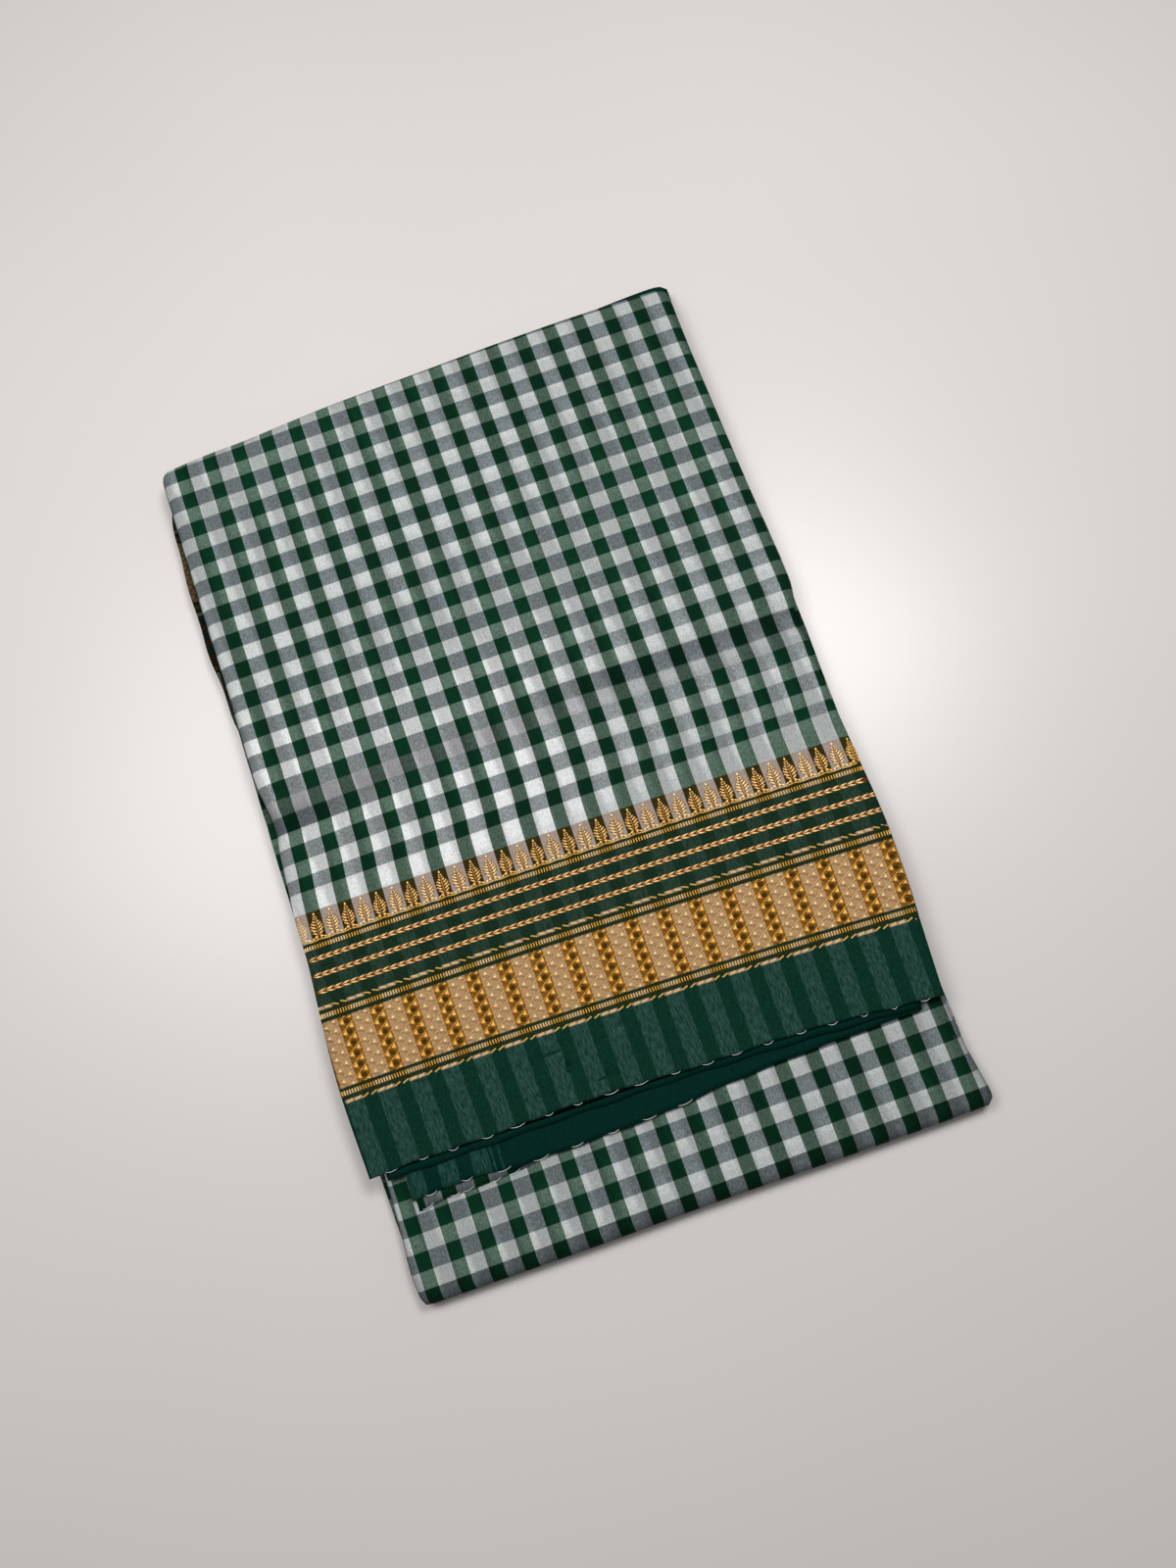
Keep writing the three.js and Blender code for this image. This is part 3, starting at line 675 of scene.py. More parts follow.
# darker copies of the check as painted shade: on the folded layers' edges and the corner selvedge, far darker
# on the border of the hidden run
shaded_edge_cloth = woven("folded edges in painted shade", shade=0.8)
shaded_border_cloth = woven("border of the hidden run in painted shade", shade=0.22)
low_check = woven("check along the bottom fold", fold=5.25)
deep_gold = gold("deep gold thread", DEEP_GOLD, DEEP_TARNISH)
pale_gold = gold("pale gold thread", PALE_GOLD, PALE_TARNISH)
# lighter copies of the two golds, as painted highlight
bright_gold = gold("gold thread with painted highlight", BRIGHT_GOLD, DEEP_GOLD)
bright_pale = gold("pale thread with painted highlight", BRIGHT_PALE, PALE_GOLD)
chain_gold = gold("plaited gold thread", CHAIN_GOLD, CHAIN_TARNISH)
# flat dark patches under the spikes: painted shadow
deep_shadow_patch = gold("brown painted shadow", BROWN_PAINTED_SHADOW, BROWN_PAINTED_SHADOW_DARK, 0.02)
pale_shadow_patch = gold("fawn painted shadow", FAWN_PAINTED_SHADOW, FAWN_PAINTED_SHADOW_DARK, 0.02)
white_thread = thread_white()


# ---------------------------------------------------------------- the stretches that show
def laid_across(stations, columns, ends, left_edge, right_edge, lay):
    """Rows of a sheet between two side edges. A station is a share of the way between the ends, and the turn
    round a fold past them. lay turns a place on the unrolled sheet into a point and its uv."""
    grid = []
    for t, turn in stations:
        middle_y = blend(*ends, t)
        left, right = side(left_edge, middle_y), side(right_edge, middle_y)
        row = steps(*unrolled_span(left, right), columns)
        grid.append([lay(unrolled, *rolled(unrolled, left, right), t, turn) for unrolled in row])
    return grid


def front_flap():
    """One sheet from the free selvedge up, over the top fold and down its back."""

    def lay(unrolled, x, drop, t, turn):
        fold_y = smooth(TOP_FOLD, x) - TOP_FOLD_RADIUS
        foot_y = smooth(FLAP_FOOT, x) + 0.25 * math.sin(x / 3.7)
        y = blend(foot_y, fold_y, t)
        centre, reach = flap_top(x, y) - TOP_FOLD_RADIUS, TOP_FOLD_RADIUS - drop
        point = place(x, y + reach * math.sin(turn), centre + reach * math.cos(turn))
        return point, flap_uv(unrolled, y + TOP_FOLD_RADIUS * turn)

    # rows stand closest at the border and about the old half-fold
    rows = steps(0, 0.09, 24) + steps(0.1, 0.36, 26) + steps(0.365, 0.56, 44) + steps(0.57, 1, 44)
    turns = steps(0, math.radians(97), 16)[1:]
    stations = [(t, 0.0) for t in rows] + [(1.0, turn) for turn in turns]
    grid = laid_across(stations, 184, (-151.5, 207.0), FLAP_LEFT, FLAP_RIGHT, lay)
    return cloth_sheet("front_flap_cloth", grid, check_cloth)


def lower_panel():
    """The stretch below the flap, round the bottom fold and on to the table."""

    def lay(unrolled, x, drop, t, turn):
        y = blend(UNDER_FLAP, smooth(LOW_FOLD, x) + LOW_FOLD_RADIUS, t)
        reach = LOW_FOLD_RADIUS - drop
        lift = (low_top(x, y) - LOW_TOP) * math.cos(turn / 2)
        point = place(x, y - reach * math.sin(turn), lift + LOW_FOLD_RADIUS + reach * math.cos(turn))
        point.z = max(point.z, 0.0)
        return point, low_uv(unrolled, y - 0.75 * LOW_FOLD_RADIUS * turn)

    turns = steps(0, math.pi, 18)[1:]
    stations = [(1.0, turn) for turn in reversed(turns)] + [(t, 0.0) for t in steps(1, 0, 44)]
    grid = laid_across(stations, 72, (UNDER_FLAP, -204.0), LOW_LEFT, LOW_RIGHT, lay)
    return cloth_sheet("lower_panel_cloth", grid, low_check)


def back_cloth():
    """The underside, flat on the table, turned up at its sides and its upper end."""
    end_radius, inset, gap, rows_on = 5.0, 1.2, 0.4, 6.0

    def lay(unrolled, x, drop, t, turn):
        start_y = smooth(LOW_FOLD, x) + LOW_FOLD_RADIUS + gap
        y = blend(start_y, smooth(TOP_FOLD, x) - end_radius - inset, t)
        reach = end_radius - drop
        point = place(x, y + reach * math.sin(turn), end_radius - reach * math.cos(turn))
        across, down = grid_to_check(unrolled, -y)
        return point, (across, down - rows_on)

    turns = steps(0, math.pi / 2, 8)[1:]
    stations = [(1.0, turn) for turn in reversed(turns)] + [(t, 0.0) for t in steps(1, 0, 30)]
    grid = laid_across(stations, 48, (-203.0, 207.0), BACK_LEFT, BACK_RIGHT, lay)
    return cloth_sheet("back_cloth", grid, check_cloth)


def free_selvedge(name, foot, top, left_x, right_x, material, uv, slant=0.0):
    """A layer's free end under the flap's foot, with a slight wave along its edge."""
    grid = []
    for t in steps(0, 1, 20):
        row = []
        for share in steps(0, 1, 90):
            x = blend(left_x - slant * t, right_x + 3 * t, share)
            y = blend(smooth(foot, x) + 0.3 * math.sin(x / 4.3 + top), SELVEDGE_END, t)
            rise = 0.12 * math.sin(x / 9.0 + top) * (1 - t) - 0.4 * ease(0.3, 0.0, t)
            rise -= 0.5 * ease(0.008, 0.0, min(share, 1 - share))
            row.append((place(x, y, top + rise), uv(x, y)))
        grid.append(row)
    return cloth_sheet(name, grid, material, THIN_CLOTH)


def second_uv(x, y):
    return x / REPEAT + 30.0, y / REPEAT_DOWN


def pallu_uv(x, y):
    """The end piece: its last stripes at the left, then plain."""
    return (x + 114.3) / REPEAT + 3.0, y / REPEAT_DOWN


def corner_uv(x, y):
    """One dark row of the check."""
    return (x + 109.1) / REPEAT + 3.0, 3.5 - (y + 168.5) / 60.0


def inner_border():
    """Far end of the middle run with the other selvedge's border: a double layer, folded at its left side."""
    half, level, turn_in = 0.45, 8.75, 1.2
    inner_x, far_x = 100, 130.0
    start_y, end_y = 62, 196
    grid = []
    for y in steps(start_y, end_y, 60):
        left_x = smooth(INNER_LEFT, y) + 0.35 * math.sin(y / 6.1)
        profile = [(far_x, half)] + [(x, half) for x in steps(inner_x, left_x + 8, 8)]
        profile += [(left_x + turn_in * (1 - math.sin(a)), half * math.cos(a)) for a in steps(0, math.pi, 8)]
        profile += [(x, -half) for x in steps(left_x + 8, inner_x, 8)] + [(far_x, -half)]
        row, run = [], 0.0
        for i, (x, z) in enumerate(profile):
            if i:
                run += math.dist((x, z), profile[i - 1])
            uv = (10.0 + run / REPEAT, SELVEDGE_DOWN - (end_y - y) / INNER_REPEAT)
            row.append((place(x, y, level + z), uv))
        grid.append(row[::-1])
    return cloth_sheet("inner_border_cloth", grid, shaded_border_cloth, THIN_CLOTH)


def pallu_fold():
    """Fold of the plain end piece standing out past the top fold at the right."""
    level, half = 6.5, 0.8
    grid = []
    for x in steps(FOLD_EDGE[0][0], FOLD_EDGE[-1][0], 60):
        tip = smooth(FOLD_EDGE, x)
        inner = min(212.0, tip - 3.0)
        bend = [(tip - half * (1 - math.sin(a)), level + half * math.cos(a)) for a in steps(0, math.pi, 10)]
        profile = [(inner, level + half)] + bend + [(inner, level - half)]
        across = (x + 100) / REPEAT
        grid.append([(place(x, y, z), (across, 20.0 + k * 0.1)) for k, (y, z) in enumerate(profile)])
    return cloth_sheet("pallu_fold_cloth", [list(row) for row in zip(*grid)], pallu_cloth, THIN_CLOTH)


# ---------------------------------------------------------------- folded layers between
LEAVES, FIRST_LEAF, LEAF_GAP, LEAF = 15, 0.62, 0.36, 0.24  # count, first one's depth, pitch and thickness
FINE_LEAVES = 4  # the upper ones are made with more points
LEAF_FOOT, LEAF_FAR = -149.4, 195.0  # y of their two free ends, about
LEAF_LIP = LEAF / 2
LEAF_CURL = ((LEAF_LIP, 1), (LEAF_LIP * 0.3, 0.7), (0, 0), (LEAF_LIP * 0.3, -0.7), (LEAF_LIP, -1))


def leaf_stations():
    """Where a leaf's cross sections stand: the run, the share of it, and the turn round a fold."""
    stations = [("flap", 0.0, 0.0)]
    for run, count in (("flap", 40), ("top", 10), ("back", 22), ("low", 9), ("middle", 28)):
        for share in steps(0, 1, count)[1:]:
            stations.append((run, 1.0, math.pi * share) if run in ("top", "low") else (run, share, 0.0))
    return stations


def leaf_sides(run, t, turn, foot, far):
    """Where a cross section lies: its middle y, the two side edges that it keeps within, and its level."""
    if run == "flap":
        y = blend(foot, 206.0, t)
        return y, side(FLAP_LEFT, y), side(FLAP_RIGHT, y), STACK
    if run == "top":
        return 207.0, side(FLAP_LEFT, 204), side(FLAP_RIGHT, 210), STACK * (1 + math.cos(turn)) / 2
    if run == "back":
        y = blend(207.0, -203.0, t)
        return y, side(BACK_LEFT, y), side(BACK_RIGHT, y), 0.0
    if run == "low":
        return -205.0, side(LOW_LEFT, -208), side(LOW_RIGHT, -205), LOW_TOP * (1 - math.cos(turn)) / 2
    y = blend(-204.0, far, t)
    settled = ease(-150, -90, y)
    edges = []
    for low_edge, back_edge in ((LOW_LEFT, BACK_LEFT), (LOW_RIGHT, BACK_RIGHT)):
        low_x, low_roll = side(low_edge, y)
        edges.append((blend(low_x, side(back_edge, y)[0], settled), low_roll * (1 - settled) + 0.01))
    return y, *edges, LOW_TOP


def tucked(roll, depth):
    """How far a leaf's edge draws in where the outer layer rolls over the side."""
    clear = depth - LEAF / 2 - CLOTH - 0.1
    if clear >= roll:
        return 0.0
    return roll - math.sqrt(max(roll**2 - (roll - clear) ** 2, 0.0))


def leaf_outline(left_x, right_x, count):
    """Cross section of a leaf: x, and its face from 1 outside to -1 inside."""
    inner = steps(left_x + 2, right_x - 2, count)
    outline = [(left_x + inset, face) for inset, face in LEAF_CURL] + [(x, -1) for x in inner]
    outline += [(right_x - inset, face) for inset, face in reversed(LEAF_CURL)]
    return outline + [(x, 1) for x in reversed(inner)]


def leaf_point(run, t, turn, x, face, depth, share, foot, far):
    half = face * LEAF / 2
    top_y, low_y = smooth(TOP_FOLD, x) - TOP_FOLD_RADIUS, smooth(LOW_FOLD, x) + LOW_FOLD_RADIUS
    if run == "flap":
        y = blend(foot + smooth(FLAP_FOOT, x) + 151.0, top_y, t)
        return place(x, y, leaf_top(x, y, share) - depth + half)
    if run == "top":
        radius = TOP_FOLD_RADIUS - depth + half
        follow = (leaf_top(x, top_y, share) - STACK) * (1 + math.cos(turn)) / 2
        return place(x, top_y + radius * math.sin(turn), TOP_FOLD_RADIUS + radius * math.cos(turn) + follow)
    if run == "back":
        return place(x, blend(top_y, low_y, t), depth - half)
    if run == "low":
        radius = LOW_FOLD_RADIUS - depth + half
        return place(x, low_y - radius * math.sin(turn), LOW_FOLD_RADIUS - radius * math.cos(turn))
    return place(x, blend(low_y, far, t), LOW_TOP - FACE_IN - depth + half)


def folded_layers():
    """Layers of the folded strip, each a ribbon round both folds inside the outer cloth, its ends free."""
    chance = random.Random(7)
    stations = leaf_stations()
    points, faces, uvs = [], [], []
    for k in range(LEAVES):
        depth = FIRST_LEAF + k * LEAF_GAP
        share = 1 - 0.8 * k / LEAVES
        foot = LEAF_FOOT + chance.uniform(-1.2, 1.0)
        far = LEAF_FAR + chance.uniform(-2.0, 0.8)
        wave = [chance.uniform(0, 6.3) for _ in range(4)]
        jog = [chance.uniform(0.1, 1.3), chance.uniform(0.1, 1.3)]
        phase = [chance.choice((0.35, 0.45, 0.5, 0.55, 0.02)), chance.choice((0.4, 0.5, 0.6, 0.98))]
        first = len(points)
        runs, columns = [], []  # length run so far and the checks' phases, one entry for each cross section
        for run, t, turn in stations:
            y, left, right, level = leaf_sides(run, t, turn, foot, far)
            ripple = 0.22 * math.sin(y / 7.3 + wave[0]) + 0.3 * math.sin(y / 23.0 + wave[1])
            ripple_right = 0.22 * math.sin(y / 8.1 + wave[2]) + 0.3 * math.sin(y / 19.0 + wave[3])
            left_x = left[0] + tucked(left[1], depth) + CLOTH + max(jog[0] + ripple, 0.15)
            right_x = right[0] - tucked(right[1], depth) - CLOTH - max(jog[1] + ripple_right, 0.15)
            outline = leaf_outline(left_x, right_x, 9 if k < FINE_LEAVES else 5)
            points += [leaf_point(run, t, turn, x, face, depth, share, foot, far) for x, face in outline]
            runs.append(runs[-1] + max(abs(y - last_y), abs(level - last_level)) if runs else 0.0)
            columns.append([phase[0] if x < 0 else phase[1] for x, _ in outline])
            last_y, last_level = y, level
        for run, row in zip(runs, columns):
            down = SELVEDGE_DOWN - min(run + 1.0, runs[-1] - run + 1.0) / INNER_REPEAT
            uvs += [(across, down) for across in row]
        loop = len(outline)
        for s in range(len(stations) - 1):
            for i in range(loop):
                a, b = first + s * loop + i, first + s * loop + (i + 1) % loop
                faces.append((a, a + loop, b + loop, b))
        last = first + (len(stations) - 1) * loop
        faces.append(tuple(range(first, first + loop)))
        faces.append(tuple(reversed(range(last, last + loop))))
    piece = new_piece("folded_layers", points, faces, uvs, [shaded_edge_cloth])
    pick(piece)
    bpy.ops.object.mode_set(mode="EDIT")
    bpy.ops.mesh.select_all(action="SELECT")
    bpy.ops.mesh.normals_make_consistent(inside=False)
    bpy.ops.object.mode_set(mode="OBJECT")
    bpy.ops.object.shade_smooth_by_angle(angle=math.radians(50))
    piece.select_set(False)
    return piece


# ---------------------------------------------------------------- woven gold on the border
# Places in the list of gold finishes: 0 deep, 1 pale, the same two as painted shadow under the spikes, then
# the same two lighter as painted highlight, then the chains'.
SHADOW_PATCH, LIT, CHAIN = 2, 4, 6


def square_step(a0, o0, a1, o1, width):
    """Half a thread's width, square to its run."""
    run = math.hypot(a1 - a0, o1 - o0)
    return -(o1 - o0) / run * width / 2, (a1 - a0) / run * width / 2


class GoldWork:
    """Raised threads laid on the flap, each from points of the border: mm along it, mm from the selvedge."""

    def __init__(self):
        self.points, self.faces, self.kinds = [], [], []

    def on_packet(self, along, out):
        across = along / REPEAT
        tilt = SELVEDGE_TILT * (across - SELVEDGE_MIDDLE)
        down = SELVEDGE_DOWN + tilt - (out - bow(across, out)) / REPEAT_DOWN
        return check_to_grid(across + lean(across, down), down)

    def spot(self, along, out, rise):
        x, y = self.on_packet(along, out)
        here = place(*flap_point(x, y))
        right = place(*flap_point(x + 0.5, y)) - here
        up = place(*flap_point(x, y + 0.5)) - here
        return here + right.cross(up).normalized() * rise * MM

    def fits(self, along, out):
        x, y = self.on_packet(along, out)
        start, end = unrolled_span(side(FLAP_LEFT, y), side(FLAP_RIGHT, y))
        return start + SIDE_MARGIN < x < end - SIDE_MARGIN

    def solid(self, base, ridge, faces, kind):
        """base and ridge are lists of (along, out), the ridge raised."""
        if not all(self.fits(*p) for p in base):
            return
        first = len(self.points)
        self.points += [self.spot(*p, -SUNK) for p in base]
        self.points += [self.spot(*p) for p in ridge]
        for face in faces:
            self.faces.append(tuple(first + i for i in face))
            self.kinds.append(kind)

    def slab(self, base, top, kind):
        """An outline and its raised top, with as many corners."""
        n = len(base)
        sides = [(i, (i + 1) % n, n + (i + 1) % n, n + i) for i in range(n)]
        self.solid(base, top, sides + [tuple(range(n, 2 * n)), tuple(reversed(range(n)))], kind)

    def thread(self, a0, o0, a1, o1, width, rise, kind, blunt=False):
        """A stitch from one point to another, with pointed or blunt ends."""
        na, no = square_step(a0, o0, a1, o1, width)

        def at(t, s):
            return blend(a0, a1, t) + na * s, blend(o0, o1, t) + no * s

        if blunt:
            base = [at(0, -1), at(1, -1), at(1, 1), at(0, 1)]
            ridge = [(*at(0.12, 0), rise), (*at(0.88, 0), rise)]
            faces = [(0, 1, 5, 4), (1, 2, 5), (2, 3, 4, 5), (3, 0, 4), (3, 2, 1, 0)]
        else:
            base = [at(0, 0), at(0.3, -1), at(0.7, -1), at(1, 0), at(0.7, 1), at(0.3, 1)]
            ridge = [(*at(0.28, 0), rise), (*at(0.72, 0), rise)]
            faces = [(0, 1, 6), (1, 2, 7, 6), (2, 3, 7), (3, 4, 7), (4, 5, 6, 7), (5, 0, 6)]
            faces.append((5, 4, 3, 2, 1, 0))
        self.solid(base, ridge, faces, kind)

    def shadow_patch(self, outline, rise, kind):
        """A flat dark patch: painted shadow under a motif."""
        self.slab(outline, [(a, o, rise) for a, o in outline], kind)

    def fin(self, corners, rise, kind, flat=0.62):
        """A tuft with a few corners, sloped at its sides and flat for a share of its size on top."""
        middle_a, middle_o = (sum(values) / len(corners) for values in zip(*corners))
        top = [(blend(middle_a, a, flat), blend(middle_o, o, flat), rise) for a, o in corners]
        self.slab(corners, top, kind)

    def leaf(self, a0, o0, a1, o1, width, rise, kind):
        """A narrow pointed tuft from one point to another."""
        na, no = square_step(a0, o0, a1, o1, width)
        middle_a, middle_o = blend(a0, a1, 0.45), blend(o0, o1, 0.45)
        corners = [(a0, o0), (middle_a - na, middle_o - no), (a1, o1), (middle_a + na, middle_o + no)]
        self.fin(corners, rise, kind, 0.7)

    def piece(self, name):
        golds = [deep_gold, pale_gold, deep_shadow_patch, pale_shadow_patch, bright_gold, bright_pale, chain_gold]
        return new_piece(name, self.points, self.faces, None, golds, self.kinds, False)


def column_kind(along):
    """0 deep gold over the green columns, 1 pale gold over the white ones."""
    off = (along / REPEAT + 0.5) % 1.0 - 0.5
    return 1 if abs(off) < WHITE_COLUMN / 2 else 0


BORDER_START, BORDER_END = 1.5 * REPEAT, 21.5 * REPEAT
QUARTER_REPEAT = REPEAT / 4
SUNK, SIDE_MARGIN = 0.04, 0.4  # how deep threads sit in the cloth, and how near they come to its sides
# One half of the painted shadow under a spike, and its arms: height at the root and at the tip, reach to the
# side, width.
SPIKE_SHADOW_PATCH = [
    (3.8, -0.1), (2.1, 1.5), (1.8, 2.5), (3.1, 4.4), (3.3, 6.1), (2.4, 8.2), (0.8, 10.0), (0.9, 10.7),
]
SPIKE_ARMS = [
    (2.2, 3.7, 2.6, 0.9), (3.6, 5.3, 3.2, 0.95), (5.0, 6.7, 3.1, 0.95), (6.4, 7.9, 2.5, 0.9),
    (7.8, 9.0, 1.8, 0.85), (9.1, 10.0, 1.1, 0.75),
]
# Corners of a fin in a cell of the broad band, and of the half fins along its edges, from the middle or edge.
BAND_FIN = ((-1.35, -0.45), (1.0, -1.25), (0.75, 1.4))
LOW_HALF_FIN = ((0.8, 0.1), (3.0, 0.1), (2.7, 1.5))
HIGH_HALF_FIN = ((0.7, -1.3), (2.9, -1.4), (2.7, -0.1))
LONG_ARM = 2.2  # arms that reach further have a tuck under them
# Cap and foot: root, tip (to the side, up), width, height, painted highlight or not.
SPIKE_TUFTS = [
    (0.0, 10.8, 1.05, 10.15, 0.7, 0.2, LIT), (0.2, 2.1, 2.5, 0.8, 1.1, 0.22, LIT),
    (0.2, 1.2, 1.8, 0.4, 0.8, 0.2, 0), (1.9, 1.3, 3.8, 0.2, 1.0, 0.2, LIT),
]


def spots(start, end, pitch, phase=0.0):
    first = math.ceil((start - phase) / pitch)
    return [phase + i * pitch for i in range(first, int((end - phase) / pitch) + 1)]


def temple_spikes():
    """A row of little spires, one over each column: a knob, a cap, a leafy body and a spreading foot."""
    work = GoldWork()
    foot = SPIKE_FOOT
    for centre in spots(BORDER_START, BORDER_END, HALF_REPEAT):
        kind = column_kind(centre)
        # painted shadow: a flat dark patch under the whole spike
        shadow_patch = [(centre + a, foot + o) for a, o in SPIKE_SHADOW_PATCH] + [(centre, foot + 12.4)]
        shadow_patch += [(centre - a, foot + o) for a, o in reversed(SPIKE_SHADOW_PATCH)]
        work.shadow_patch(shadow_patch, 0.05, kind + SHADOW_PATCH)
        work.thread(centre, foot + 0.9, centre, foot + 10.2, 0.45, 0.24, kind + LIT)
        for root, tip, reach, width in SPIKE_ARMS:
            for way in (-1, 1):
                root_a, tip_a, tip_o = centre + way * 0.15, centre + way * reach, foot + tip
                work.leaf(root_a, foot + root, tip_a, tip_o, width * 1.05, 0.2, kind + LIT)
                if reach > LONG_ARM:
                    tuck_a, end_a = centre + way * reach * 0.62, centre + way * reach * 1.05
                    work.leaf(tuck_a, tip_o + 0.35, end_a, tip_o - 0.75, 0.75, 0.18, kind)
        for way in (-1, 1):
            for a0, o0, a1, o1, width, rise, lit in SPIKE_TUFTS:
                work.leaf(centre + way * a0, foot + o0, centre + way * a1, foot + o1, width, rise, kind + lit)
        work.leaf(centre, foot + 10.9, centre, foot + 12.8, 1.2, 0.24, kind + LIT)
    for i, centre in enumerate(spots(BORDER_START, BORDER_END, QUARTER_REPEAT)):
        # a wavy line under the spikes' feet
        wave = 0.22 if i % 2 else -0.22
        kind = column_kind(centre + QUARTER_REPEAT / 2) + LIT
        work.thread(centre, foot - wave, centre + QUARTER_REPEAT, foot + wave, 0.7, 0.2, kind, True)
    return work.piece("temple_spikes")


def chain_lines():
    """Three plaited lines, each link two leaves that open to the right."""
    work = GoldWork()
    for out in CHAINS:
        for centre in spots(BORDER_START, BORDER_END, QUARTER_REPEAT, QUARTER_REPEAT / 2):
            for way in (-1, 1):
                work.leaf(centre - 2.7, out + way * 0.15, centre + 2.6, out + way * 1.1, 1.0, 0.22, CHAIN)
    return work.piece("chain_lines")


def ladders_and_dashes():
    """Fine rungs between dark lines, and a row of slanting dashes beside two of them."""
    work = GoldWork()
    for out, half in ((LADDER_LOW, 1.0), (LADDER_MIDDLE, 1.05), (LADDER_HIGH, 0.95)):
        for centre in spots(BORDER_START, BORDER_END, REPEAT / 12, REPEAT / 24):
            kind = column_kind(centre)
            width = 0.72 if kind else 0.62
            work.thread(centre, out - half, centre, out + half, width, 0.18, kind + LIT, True)
    for out, slant in ((DASH_LOW, 1), (DASH_HIGH, -1)):
        for centre in spots(BORDER_START, BORDER_END, QUARTER_REPEAT, QUARTER_REPEAT / 2):
            kind, rise = column_kind(centre), slant * 0.6
            work.thread(centre - 1.4, out - rise, centre + 1.4, out + rise, 0.75, 0.24, kind + LIT, True)
            if kind:
                near, far = slant * 0.1, slant * 0.55
                work.thread(centre - 0.4, out - far, centre + 1.6, out - near, 0.8, 0.22, kind)
                work.thread(centre - 1.7, out + near, centre + 0.4, out + slant * 0.5, 0.8, 0.22, kind)
    return work.piece("ladders_and_dashes")


def broad_band():
    """Crossing diagonal threads that form cells, with a small raised fin in the left half of each cell."""
    work = GoldWork()
    half_cell, half_row = HALF_REPEAT / 2, BAND_PITCH / 2
    spill = BAND_ROWS * HALF_REPEAT  # diagonals that cross the border start or end this far beside it
    for way, width, rise, lit in ((-1, 0.4, 0.2, 0), (1, 0.52, 0.3, LIT)):
        for start in spots(BORDER_START - spill, BORDER_END + spill, HALF_REPEAT):
            for i in range(BAND_ROWS * 2):
                a0, a1 = start + way * i * half_cell, start + way * (i + 1) * half_cell
                o0, o1 = BAND_LOW + i * half_row, BAND_LOW + (i + 1) * half_row
                work.thread(a0, o0, a1, o1, width, rise, column_kind((a0 + a1) / 2) + lit, True)
    for centre in spots(BORDER_START, BORDER_END, QUARTER_REPEAT, QUARTER_REPEAT / 2):
        kind = column_kind(centre)
        size = 0.86 if kind else 1.05
        # fins left of a column's middle sit half a row above those right of it
        left = (centre / HALF_REPEAT) % 1.0 > 0.5
        for i in range(BAND_ROWS + (0 if left else 1)):
            out = BAND_LOW + (i + (0.5 if left else 0.0)) * BAND_PITCH
            if BAND_LOW + 0.9 < out < BAND_HIGH - 0.9:
                corners = [(centre + a * size, out + o * size) for a, o in BAND_FIN]
                work.fin(corners, 0.34, kind + LIT)
    for centre in spots(BORDER_START, BORDER_END, HALF_REPEAT):
        for edge, corners in ((BAND_LOW, LOW_HALF_FIN), (BAND_HIGH, HIGH_HALF_FIN)):
            work.fin([(centre + a, edge + o) for a, o in corners], 0.3, column_kind(centre) + LIT)
    return work.piece("broad_band_threads")


# ---------------------------------------------------------------- loose thread loops on the selvedges
def thread_loops(name, rows):
    """Short sagging loops of white thread. rows: x, y, z, length, sag, turn in degrees."""
    points, faces = [], []
    sides, rings, radius = 6, 11, 0.12
    for x, y, z, length, hang, turn in rows:
        c, s = math.cos(math.radians(turn)), math.sin(math.radians(turn))
        first = len(points)
        for i in range(rings):
            t = i / (rings - 1)
            run, drop = (t - 0.5) * length, -hang * (1 - (2 * t - 1) ** 2)
            thin = radius * (0.35 + 0.65 * math.sin(math.pi * t) ** 0.5)
            for k in range(sides):
                a = 2 * math.pi * k / sides
                off = drop + thin * math.cos(a)
                points.append(place(x + run * c - off * s, y + run * s + off * c, z + thin * math.sin(a)))
        for i in range(rings - 1):
            for k in range(sides):
                a, b = first + i * sides + k, first + i * sides + (k + 1) % sides
                faces.append((a, a + sides, b + sides, b))
        faces.append(tuple(first + k for k in range(sides)))
        faces.append(tuple(first + (rings - 1) * sides + k for k in reversed(range(sides))))
    return new_piece(name, points, faces, None, [white_thread])


def selvedge_loops():
    chance = random.Random(3)
    rows = []
    for i in range(18):
        x = -122.0 + 14.6 * i + chance.uniform(-1.2, 1.2)
        length = chance.uniform(4.2, 7.6) * (0.65 if x > 40 else 1.0)
        shape = length, chance.uniform(0.4, 1.0), chance.uniform(-3, 4)
        rows.append((x, smooth(FLAP_FOOT, x) + 0.15, flap_top(x, -151) - 0.05, *shape))
    for i in range(8):
        x = -109.0 + 17.0 * i
        shape = chance.uniform(5.0, 7.5), chance.uniform(0.5, 1.1), chance.uniform(0, 6)
        rows.append((x, smooth(PALLU_FOOT, x) + 0.6, 14.3, *shape))
    for x, turn in ((-112, 14), (-99, 6), (-93, 8), (-80, 10), (-71, 12)):
        shape = chance.uniform(3.8, 6.0), chance.uniform(0.4, 0.9), turn
        rows.append((x, smooth(CORNER_FOOT, x) + 0.4, 13.1, *shape))
    return thread_loops("selvedge_loops", rows)


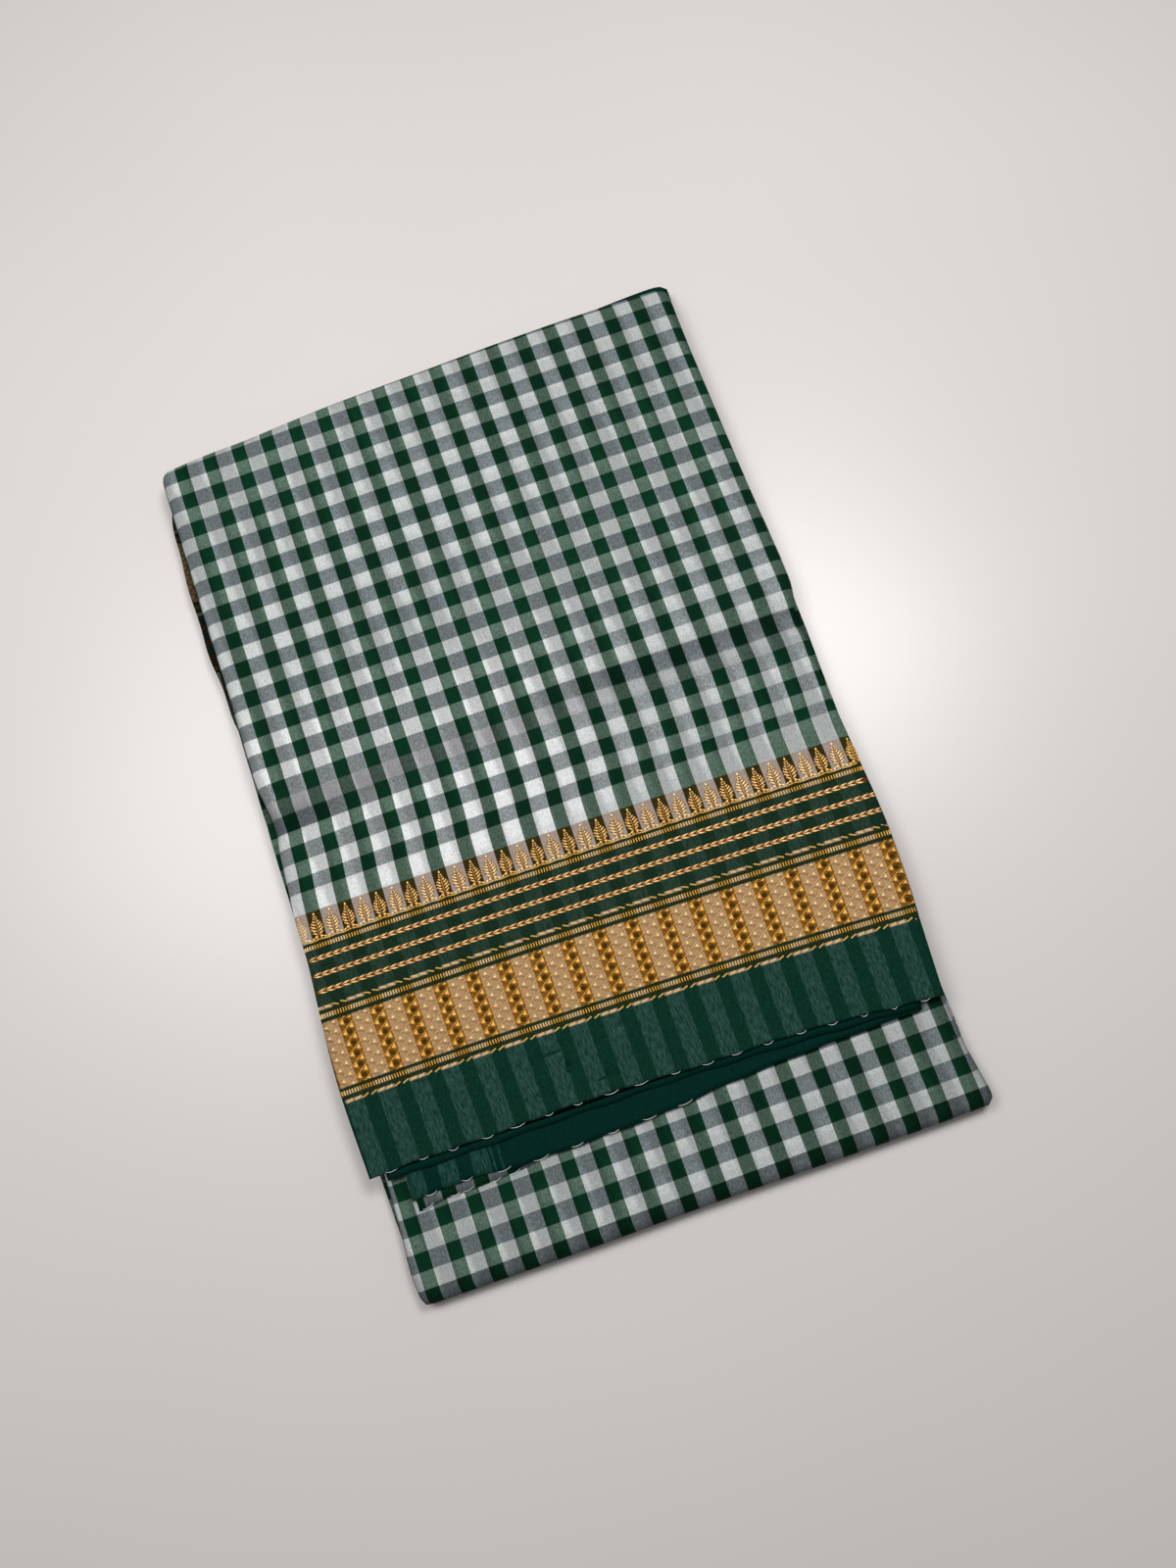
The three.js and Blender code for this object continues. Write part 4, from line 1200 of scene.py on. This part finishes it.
# ---------------------------------------------------------------- put together
flap_cloth = front_flap()
low_cloth = lower_panel()
under_cloth = back_cloth()
second = free_selvedge(
    "second_selvedge_cloth", SECOND_FOOT, 15.75, -125.6, 123.0, pallu_cloth, second_uv, slant=2.0
)
pallu = free_selvedge("pallu_selvedge_cloth", PALLU_FOOT, 14.4, -118.0, 123.0, pallu_cloth, pallu_uv)
corner = free_selvedge("corner_selvedge_cloth", CORNER_FOOT, 13.25, -116.5, 100.0, shaded_edge_cloth, corner_uv)
border = inner_border()
fold_edge = pallu_fold()
layers = folded_layers()
spikes = temple_spikes()
chains = chain_lines()
ladders = ladders_and_dashes()
band = broad_band()
loops = selvedge_loops()

for piece, slot in (
    (flap_cloth, "checked_cloth"), (low_cloth, "checked_cloth"), (under_cloth, "checked_cloth"),
    (second, "plain_cloth"), (pallu, "plain_cloth"), (corner, "plain_cloth"), (border, "zari_border"),
    (fold_edge, "plain_cloth"), (layers, "layered_cloth"), (spikes, "zari_border"), (chains, "zari_border"),
    (ladders, "zari_border"), (band, "zari_border"), (loops, "plain_cloth"),
):
    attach(piece, "root")

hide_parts("front_field", "front_border")
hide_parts("lower_panel")
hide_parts("back_panel")
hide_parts("second_selvedge")
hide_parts("pallu_selvedge")
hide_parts("corner_selvedge")
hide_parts("inner_border")
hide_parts("pallu_fold")
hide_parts("hidden_layers")


# ---------------------------------------------------------------- table, light and camera
bpy.ops.object.select_all(action="DESELECT")
bpy.ops.mesh.primitive_plane_add(size=6.0, location=(0, 0, -0.0003))
table = bpy.context.object
table.name = "table"
bpy.ops.object.transform_apply(location=True, rotation=False, scale=False)
table.data.materials.append(table_top())


def soft_light(name, size, watts, spot, aim):
    lamp = bpy.data.lights.new(name, "AREA")
    lamp.shape, lamp.size, lamp.size_y = "RECTANGLE", size[0], size[1]
    lamp.energy, lamp.color = watts, (1.0, 0.99, 0.98)
    holder = bpy.data.objects.new(name, lamp)
    holder.location = spot
    holder.rotation_euler = (Vector(aim) - Vector(spot)).to_track_quat("-Z", "Y").to_euler()
    bpy.context.scene.collection.objects.link(holder)


soft_light("ceiling panel", (0.34, 0.28), 5.0, (0.33, 0.25, 0.95), (0.06, 0.03, 0.0))
soft_light("far panel", (0.5, 0.5), 5.5, (-0.34, 0.28, 1.0), (-0.05, 0.0, 0.0))
world = bpy.data.worlds.new("room")
world.use_nodes = True
backdrop = world.node_tree.nodes["Background"]
backdrop.inputs["Color"].default_value = (0.95, 0.97, 1.0, 1.0)
backdrop.inputs["Strength"].default_value = 0.16
bpy.context.scene.world = world
bpy.context.scene.view_settings.view_transform = "Standard"

CAMERA_SPOT = (10.39, -121.02, 553.05)  # on the packet's grid
CAMERA_RIGHT = Vector((0.94841, -0.31217, -0.05530))
CAMERA_UP = Vector((0.31697, 0.93001, 0.18603))
lens = bpy.data.cameras.new("camera")
lens.lens, lens.sensor_width, lens.sensor_fit = 27.0, 36.0, "AUTO"
lens.clip_start = 0.01
camera = bpy.data.objects.new("camera", lens)
back = CAMERA_RIGHT.cross(CAMERA_UP).normalized()
turned = Matrix((CAMERA_RIGHT, CAMERA_UP, back)).transposed()
camera.matrix_world = Matrix.Translation(place(*CAMERA_SPOT)) @ turned.to_4x4()
bpy.context.scene.collection.objects.link(camera)
bpy.context.scene.camera = camera
